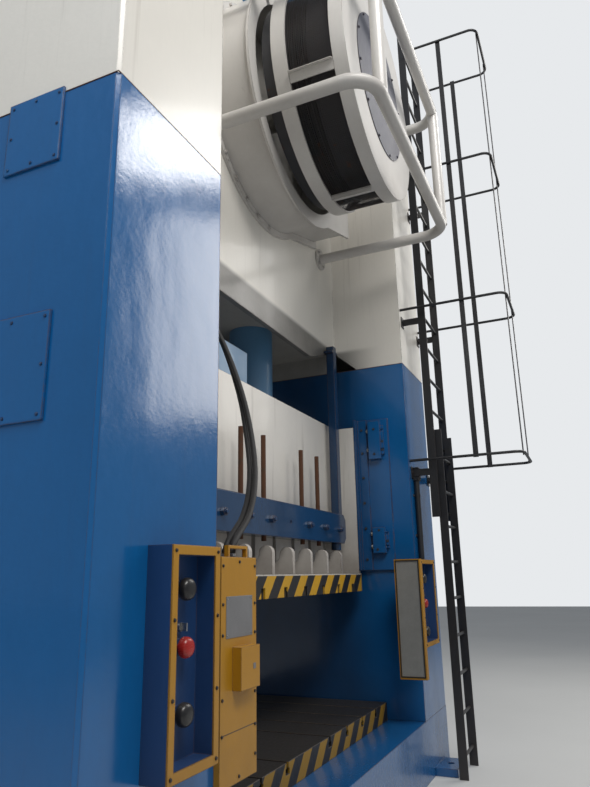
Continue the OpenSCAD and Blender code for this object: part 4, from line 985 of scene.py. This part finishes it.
wire_tree, given, wire_result = new_tree(
    "Wire guard",
    [
        ("Radius", FLOAT, 0.8),
        ("Start Angle", FLOAT, 0.0),
        ("Sweep Angle", FLOAT, 5.0),
        ("Front", FLOAT, -1.4),
        ("Depth", FLOAT, 0.4),
        ("Hoops", INTEGER, 30),
        ("Bars", INTEGER, 300),
        ("Wire Radius", FLOAT, 0.0012),
        ("Centre", VECTOR, (0, 0, 0)),
        ("Material", MATERIAL, None),
    ],
)


def guard_arc(points):
    """The guard's arc, turned upright, with that many points."""
    links = [("Resolution", points)] + [(label, given[label]) for label in ("Radius", "Start Angle", "Sweep Angle")]
    arc = add(wire_tree, "GeometryNodeCurveArc", links)[0]
    return add(wire_tree, "GeometryNodeTransform", [("Geometry", arc), ("Rotation", UPRIGHT_TURN)])[0]


def copies(points, piece):
    return add(wire_tree, "GeometryNodeInstanceOnPoints", [("Points", points), ("Instance", piece)])[0]


front_point = combine(wire_tree, Y=given["Front"])
pitch = math_node(wire_tree, "DIVIDE", given["Depth"], math_node(wire_tree, "SUBTRACT", given["Hoops"], 1.0))
links = [("Count", given["Hoops"]), ("Start Location", front_point), ("Offset", combine(wire_tree, Y=pitch))]
hoops = copies(add(wire_tree, "GeometryNodeMeshLine", links)[0], guard_arc(HOOP_POINTS))
far_point = combine(wire_tree, Y=math_node(wire_tree, "ADD", given["Front"], given["Depth"]))
straight = add(wire_tree, "GeometryNodeCurvePrimitiveLine", [("Start", front_point), ("End", far_point)])[0]
bars = copies(guard_arc(given["Bars"]), straight)
print("wire nodes:", len(wire_tree.nodes))

# %% [markdown]
# ## Give the wires their thickness
#
# The wires are only lines so far. A five-sided section swept along them is enough for wire barely 3 mm thick,
# and it keeps the mesh light. The guard's numbers are set here: its radius, the sector that the belts need, and
# how many hoops and bars there are.

# %% Wire guard
BELT_SIDE = 42.7

wires = add(wire_tree, "GeometryNodeJoinGeometry", [(0, hoops), (0, bars)])[0]
loose = add(wire_tree, "GeometryNodeRealizeInstances", [("Geometry", wires)])[0]
links = [("Resolution", WIRE_SIDES), ("Radius", given["Wire Radius"])]
section = add(wire_tree, "GeometryNodeCurvePrimitiveCircle", links)[0]
solid = add(wire_tree, "GeometryNodeCurveToMesh", [("Curve", loose), ("Profile Curve", section)])[0]
moved = add(wire_tree, "GeometryNodeTransform", [("Geometry", solid), ("Translation", given["Centre"])])[0]
links = [("Geometry", moved), ("Material", given["Material"])]
wire(wire_tree, add(wire_tree, "GeometryNodeSetMaterial", links)[0], wire_result[0])

grow("wire_guard", wire_tree, bpy.data.meshes.new("empty"), "black_paint", replaces="guard_mesh", Radius=0.8124,
     Start_Angle=math.radians(90 + BELT_SIDE), Sweep_Angle=math.radians(360 - 2 * BELT_SIDE), Front=-1.3985,
     Depth=0.427, Hoops=32, Bars=300, Wire_Radius=0.0014, Centre=(DRUM_X, 0.0, DRUM_Z), Material=black_paint)

# %% [markdown]
# ## Weld beads
#
# Plates this thick are welded by hand, and the bead's ripples catch the light even under paint. The tree takes
# the lines to weld, cuts them into even steps and lays one flattened blob on each, a little different in size
# every time.

# %% Weld tree
BLOB_DETAIL = 2

weld_tree, given, weld_result = new_tree(
    "Weld bead",
    [
        ("Width", FLOAT, 0.007),
        ("Pitch", FLOAT, 0.009),
        ("Spread", FLOAT, 0.25),
        ("Seed", INTEGER, 7),
        ("Material", MATERIAL, None),
    ],
)
line = add(weld_tree, "GeometryNodeMeshToCurve", [("Mesh", given["Geometry"])])[0]
links = [("Curve", line), ("Length", given["Pitch"])]
even = add(weld_tree, "GeometryNodeResampleCurve", links, mode="LENGTH")[0]
tangent = add(weld_tree, "GeometryNodeInputTangent")[0]
along = add(weld_tree, "FunctionNodeAlignRotationToVector", [("Vector", tangent)], axis="X")[0]
blob = add(weld_tree, "GeometryNodeMeshIcoSphere", [("Radius", 1.0), ("Subdivisions", BLOB_DETAIL)])[0]
smallest = math_node(weld_tree, "SUBTRACT", 1.0, given["Spread"])
largest = math_node(weld_tree, "ADD", 1.0, given["Spread"])
links = [("Seed", given["Seed"]), (2, smallest), (3, largest)]
vary = add(weld_tree, "FunctionNodeRandomValue", links, data_type="FLOAT")[1]
wide = multiply(weld_tree, vary, given["Width"])
links = [("Points", even), ("Instance", blob), ("Rotation", along),
         ("Scale", combine(weld_tree, X=given["Pitch"], Y=wide, Z=wide))]
laid = add(weld_tree, "GeometryNodeInstanceOnPoints", links)[0]
made = add(weld_tree, "GeometryNodeRealizeInstances", [("Geometry", laid)])[0]
soft = add(weld_tree, "GeometryNodeSetShadeSmooth", [("Geometry", made)])[0]
links = [("Geometry", soft), ("Material", given["Material"])]
wire(weld_tree, add(weld_tree, "GeometryNodeSetMaterial", links)[0], weld_result[0])
print("weld nodes:", len(weld_tree.nodes))

# %% [markdown]
# ## Lines to weld
#
# A bead lies in the corner where two plates meet: the crown's middle box and its haunches against the towers,
# the rail's feet round their tubes, the foot lugs along the top and the gibs along the upright. The lines follow
# those corners, and a smaller part gets a finer bead.

# %% Welds
# Length of one ripple as a multiple of the bead's width
RIPPLE = 1.25
TOWER_X, MIDDLE_Y, CROWN_FOOT = 1.61, 0.45, 3.385


def lines_mesh(name, lines):
    """Loose edges, one chain for each line of points."""
    verts, edges = [], []
    for points in lines:
        start = len(verts)
        verts += [tuple(p) for p in points]
        edges += [(k, k + 1) for k in range(start, start + len(points) - 1)]
    mesh = bpy.data.meshes.new(name)
    mesh.from_pydata(verts, edges, [])
    return mesh


def weld(name, lines, width, material, slot, seed=7):
    grow(name, weld_tree, lines_mesh(name, lines), slot, Width=width, Pitch=width * RIPPLE, Seed=seed,
         Material=material)


def ring_points(x, y, z, radius, count=24):
    turns = [math.tau * k / count for k in range(count + 1)]
    return [(x + radius * math.cos(a), y, z + radius * math.sin(a)) for a in turns]


tower_lines = [
    [(side * TOWER_X, face * MIDDLE_Y, z) for z in (3.60, crown_top - 0.01)] for side, face in CORNERS
]
weld("tower_welds", tower_lines, 0.008, cream_paint, "cream_paint")
haunch_lines = [
    [(side * 1.0, face * MIDDLE_Y, CROWN_FOOT), (side * 1.605, face * MIDDLE_Y, 3.583)] for side, face in CORNERS
]
haunch_lines += [[(x, face * MIDDLE_Y, CROWN_FOOT) for x in (-0.995, 0.995)] for face in (-1, 1)]
weld("haunch_welds", haunch_lines, 0.005, cream_paint, "cream_paint", seed=12)
rail_lines = [ring_points(x, -0.469, z, 0.046) for x, z in RAIL_FEET]
weld("rail_welds", rail_lines, 0.004, guard_paint, "cream_paint", seed=3)
lug_lines = [[(side * 1.985 + dx, face * 1.102, 0.06) for dx in (-0.17, 0.17)] for side, face in CORNERS]
weld("lug_welds", lug_lines, 0.008, blue_paint, "blue_paint", seed=5)
gib_lines = [
    [(side * x, face * 0.932, z) for x, z in ((1.590, 1.595), (1.6085, 1.595), (1.6085, 2.898))]
    for side, face in CORNERS
]
weld("gib_welds", gib_lines, 0.004, blue_paint, "blue_paint", seed=6)

# %% [markdown]
# ## Turned pieces
#
# Push-button heads, glands and clamps are round, so one lathe function makes them all from a profile: a list of
# (radius, height) points from the foot to the top. It closes both ends with a flat face and keeps every corner
# sharp that turns by more than 35 degrees.

# %% Lathe
SHARP = math.radians(35)


def lathe(name, centre, axis, profile, material, body="frame", replaces=None, segments=48):
    """Turns a profile of (radius, height) points round an axis through the centre."""
    axis = Vector(axis)
    across = axis.orthogonal().normalized()
    other = axis.cross(across)
    verts, faces = [], []
    for radius, height in profile:
        for k in range(segments):
            a = math.tau * k / segments
            verts.append(Vector(centre) + axis * height + (across * math.cos(a) + other * math.sin(a)) * radius)
    for i in range(len(profile) - 1):
        for k in range(segments):
            n = (k + 1) % segments
            faces.append((i * segments + k, i * segments + n, (i + 1) * segments + n, (i + 1) * segments + k))
    faces.append(tuple(reversed(range(segments))))
    faces.append(tuple(range(len(verts) - segments, len(verts))))
    piece = mesh_object(name, verts, faces)
    piece.data.polygons.foreach_set("use_smooth", [segments > 8] * len(faces))
    piece.data.set_sharp_from_angle(angle=SHARP)
    piece.data.materials.append(material)
    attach(piece, body)
    if replaces:
        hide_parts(replaces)


# %% [markdown]
# ## Button heads
#
# The solid model's button is two plain cylinders, a stem and a head. The turned one has the soft dome that a
# palm fits, and stays inside those cylinders, so it moves with its button and touches nothing more. The dome is
# given in shares of the button's radius and depth.

# %% Buttons
STEM_RADIUS = 0.0139
# Points of the dome below the first share of the depth lie on the stem, which reaches up to the second
STEM_BELOW, STEM_END = 0.1, 0.40
DOME = [(0.30, 0.0), (0.30, 0.42), (0.60, 0.46), (0.93, 0.50), (0.99, 0.55), (1.0, 0.64), (0.985, 0.74), (0.93, 0.84),
        (0.80, 0.93), (0.62, 0.975), (0.40, 0.99), (0.18, 0.997), (0.02, 1.0)]


def button_head(node, material):
    low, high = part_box(node)
    radius, depth = (high.x - low.x) / 2, high.y - low.y
    profile = [(radius * r if h > STEM_BELOW else STEM_RADIUS, depth * h) for r, h in DOME]
    profile.insert(1, (STEM_RADIUS, depth * STEM_END))
    middle = ((low.x + high.x) / 2, high.y, (low.z + high.z) / 2)
    lathe(node + "_head", middle, FRONT, profile, material, body=node, replaces=node)


for side in ("left", "right"):
    button_head(side + "_upper_palm", black_plastic)
    button_head(side + "_lower_palm", black_plastic)
    button_head(side + "_mushroom", red_plastic)
print("button heads: 6")

# %% [markdown]
# ## Glands
#
# Each hose ends in a gland: a hexagon nut with a rubber ring that grips the hose. It hides the hose's cut end,
# and it is what holds a real hose in the box. Both are turned, the nut with only six segments.

# %% Glands
GLAND_RADIUS = 0.0186
NUT = [(0.72, -0.002), (1.0, 0.0), (1.0, 0.011), (0.90, 0.013)]
RING = [(0.86, 0.012), (0.88, 0.026), (0.82, 0.030), (0.78, 0.031)]
# Name of the end: its place on the route, the way it points and how far it sits above the hose's end
HOSE_ENDS = {"top": (0, DOWN, 0.014), "foot": (-1, UP, 0.002)}
for name, route in routes.items():
    for end, (index, way, lift) in HOSE_ENDS.items():
        x, y, z = route[index]
        lathe(f"gland_{name}_{end}", (x, y, z + lift), way, [(GLAND_RADIUS * r, h) for r, h in NUT],
              bright_steel, segments=6)
        lathe(f"gland_ring_{name}_{end}", (x, y, z + lift), way, [(GLAND_RADIUS * r, h) for r, h in RING],
              hose_rubber, segments=32)
print("glands:", len(routes) * len(HOSE_ENDS))

# %% [markdown]
# ## Small plates
#
# Gaskets, cover plates, seams and straps are thin boxes with softened edges. Each group of them is one object,
# so that it has one material and rides on one body. The softening is never more than 0.3 of a box's thinnest
# side, or the box would turn inside out.

# %% Plates
def plates(name, boxes, material, soft=0.0012):
    """One object made of boxes with bevelled edges, each given by two corners."""
    mesh = bmesh.new()
    for lo, hi in boxes:
        lo, hi = Vector(lo), Vector(hi)
        made = bmesh.ops.create_cube(mesh, size=1.0)["verts"]
        for v in made:
            v.co = Vector([lo[k] + (v.co[k] + 0.5) * (hi[k] - lo[k]) for k in range(3)])
        edges = list({e for v in made for e in v.link_edges})
        width = min(soft, 0.3 * min(hi[k] - lo[k] for k in range(3)))
        bmesh.ops.bevel(mesh, geom=edges, offset=width, segments=2, affect="EDGES", profile=0.5)
    data = bpy.data.meshes.new(name)
    mesh.to_mesh(data)
    mesh.free()
    piece = bpy.data.objects.new(name, data)
    bpy.context.scene.collection.objects.link(piece)
    data.materials.append(material)
    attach(piece, "frame")
    print(name, len(data.polygons), "faces")


# %% [markdown]
# ## Window gaskets
#
# The light curtain's windows sit in black rubber. A gasket is four boxes round the window, on the face that
# looks at the other light-curtain box.

# %% Gaskets
def rim(face, y, z, width, depth):
    """Four boxes round an opening in an X face. Face is its x, and depth goes outwards from it."""
    x = sorted((face - 0.3 * depth, face + depth))
    (y0, y1), (z0, z1) = y, z
    return [
        ((x[0], y0 - width, z0 - width), (x[1], y1 + width, z0)),
        ((x[0], y0 - width, z1), (x[1], y1 + width, z1 + width)),
        ((x[0], y0 - width, z0), (x[1], y0, z1)),
        ((x[0], y1, z0), (x[1], y1 + width, z1)),
    ]


left_rim = rim(-1.31, (-1.107, -0.963), (0.81, 1.61), 0.009, 0.003)
right_rim = rim(1.31, (-1.193, -1.017), (0.799, 1.652), 0.009, -0.003)
plates("window_gaskets", left_rim + right_rim, hose_rubber)

# %% [markdown]
# ## The joint between blue and cream
#
# Crown and uprights are separate pieces that the tie rods pull together, so a thin dark line runs round each
# upright where they meet. A box 3 mm high and 4 mm deep, partly sunk into the metal, gives that line.

# %% Joint seams
JOINT_LOW, JOINT_HIGH = 3.3985, 3.4015
SEAM_Y, SEAM_HALF, SEAM_INSET = 1.0985, 0.002, 0.0005

joint_lines = []
for side in (-1, 1):
    x0, x1 = sorted((side * 1.609, side * 2.361))
    for y in (-SEAM_Y, SEAM_Y):
        joint_lines.append(((x0, y - SEAM_HALF, JOINT_LOW), (x1, y + SEAM_HALF, JOINT_HIGH)))
    for x in (x0 + SEAM_INSET, x1 - SEAM_INSET):
        joint_lines.append(((x - SEAM_HALF, -SEAM_Y, JOINT_LOW), (x + SEAM_HALF, SEAM_Y, JOINT_HIGH)))
plates("joint_seams", joint_lines, rusty_steel, soft=0.0005)

# %% [markdown]
# ## Trim of the light-curtain box
#
# The yellow box at the front left has a seam low on its front, a plain grey cover plate with a small square
# one below it, and a row of screws down each side. These are a few millimetres in size, so they are
# dress and not solid pieces.

# %% Light-curtain box
BOX_FACE = -1.125
PLATE_FACE = BOX_FACE - 0.002
# x of a row of screws: the heights of its screws
SCREW_ROWS = {
    -1.595: (1.598, 1.448, 1.331, 1.096, 0.969),
    -1.325: (1.598, 1.444, 1.326, 1.093, 0.967, 0.857),
    -1.460: (1.615, 0.805),
}

seam = ((-1.606, BOX_FACE - 0.0008, 0.969), (-1.314, BOX_FACE + 0.001, 0.972))
plates("box_seams", [seam], black_paint)
large_plate = ((-1.570, PLATE_FACE, 1.317), (-1.349, BOX_FACE + 0.001, 1.478))
small_plate = ((-1.414, -1.1665, 1.191), (-1.392, -1.164, 1.213))
plates("cover_plate", [large_plate, small_plate], plate_grey)
edge_screws = [((x, BOX_FACE, z), FRONT) for x, heights in SCREW_ROWS.items() for z in heights]
bolts("box_screws", edge_screws, 0.0055, 0.004, black_paint, "black_paint", sides=12, washer=1.3, seed=6)
plate_screws = [((x, PLATE_FACE, z), FRONT) for x in (-1.560, -1.359) for z in (1.327, 1.468)]
bolts("plate_screws", plate_screws, 0.003, 0.002, bright_steel, "machined_steel", sides=12, washer=1.2, seed=6)

# %% [markdown]
# ## Screws in the control boxes' frames
#
# Each control box has a yellow frame round its front, held by four screws down each side: one near each corner
# and two between them. They are placed from the box's own size, so they stay on the frame if it changes.

# %% Frame screws
SIDE_INSET, END_INSET = 0.017, 0.02

frame_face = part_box("box_frames")[0].y
frame_screws = []
for side in ("left", "right"):
    low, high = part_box(side + "_control_box")
    heights = (low.z + END_INSET, (low.z * 2 + high.z) / 3, (low.z + 2 * high.z) / 3, high.z - END_INSET)
    frame_screws += [
        ((x, frame_face, z), FRONT) for x in (low.x + SIDE_INSET, high.x - SIDE_INSET) for z in heights
    ]
bolts("frame_screws", frame_screws, 0.0055, 0.004, black_paint, "black_paint", sides=12, washer=1.3, seed=7)

# %% [markdown]
# ## Straps and elbow box of the conduit
#
# The conduit runs down the right upright in two straps, and starts in a small box with a lid. A strap is a
# turned band round the pipe with a flat ear on each side, and a bolt through each ear into the upright.

# %% Conduit fittings
WALL_Y, EAR_FACE = -1.0995, -1.1035
STRAP_Z, STRAP_HEIGHT, STRAP_THICKNESS = (1.86, 2.20), 0.022, 0.0025
EAR_FROM, EAR_TO, EAR_BOLT = -0.004, 0.028, 0.016
LID_Y = 0.034

low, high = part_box("conduit")
pipe_x, pipe_y, pipe_r = (low.x + high.x) / 2, (low.y + high.y) / 2, (high.x - low.x) / 2
strap_inner, strap_outer = pipe_r * 0.99, pipe_r + STRAP_THICKNESS
strap = [(strap_inner, 0), (strap_outer, 0), (strap_outer, STRAP_HEIGHT), (strap_inner, STRAP_HEIGHT)]
ears, pipe_bolts = [], []
for z in STRAP_Z:
    lathe(f"pipe_strap_{round(z * 100)}", (pipe_x, pipe_y, z), UP, strap, black_paint)
    for side in (-1, 1):
        x = sorted((pipe_x + side * (pipe_r + EAR_FROM), pipe_x + side * (pipe_r + EAR_TO)))
        ears.append(((x[0], EAR_FACE, z), (x[1], WALL_Y, z + STRAP_HEIGHT)))
        pipe_bolts.append(((pipe_x + side * (pipe_r + EAR_BOLT), EAR_FACE, z + STRAP_HEIGHT / 2), FRONT))
elbow_box = ((pipe_x - 0.032, pipe_y - 0.030, high.z - 0.012), (pipe_x + 0.032, WALL_Y, high.z + 0.105))
lid = ((pipe_x - 0.028, pipe_y - LID_Y, high.z - 0.006), (pipe_x + 0.028, pipe_y - 0.029, high.z + 0.099))
plates("pipe_fittings", ears + [elbow_box, lid], black_paint, soft=0.004)
pipe_bolts += [((pipe_x, pipe_y - LID_Y, high.z + dz), FRONT) for dz in (0.006, 0.087)]
bolts("pipe_bolts", pipe_bolts, 0.006, 0.005, dark_iron, "machined_steel", seed=7)
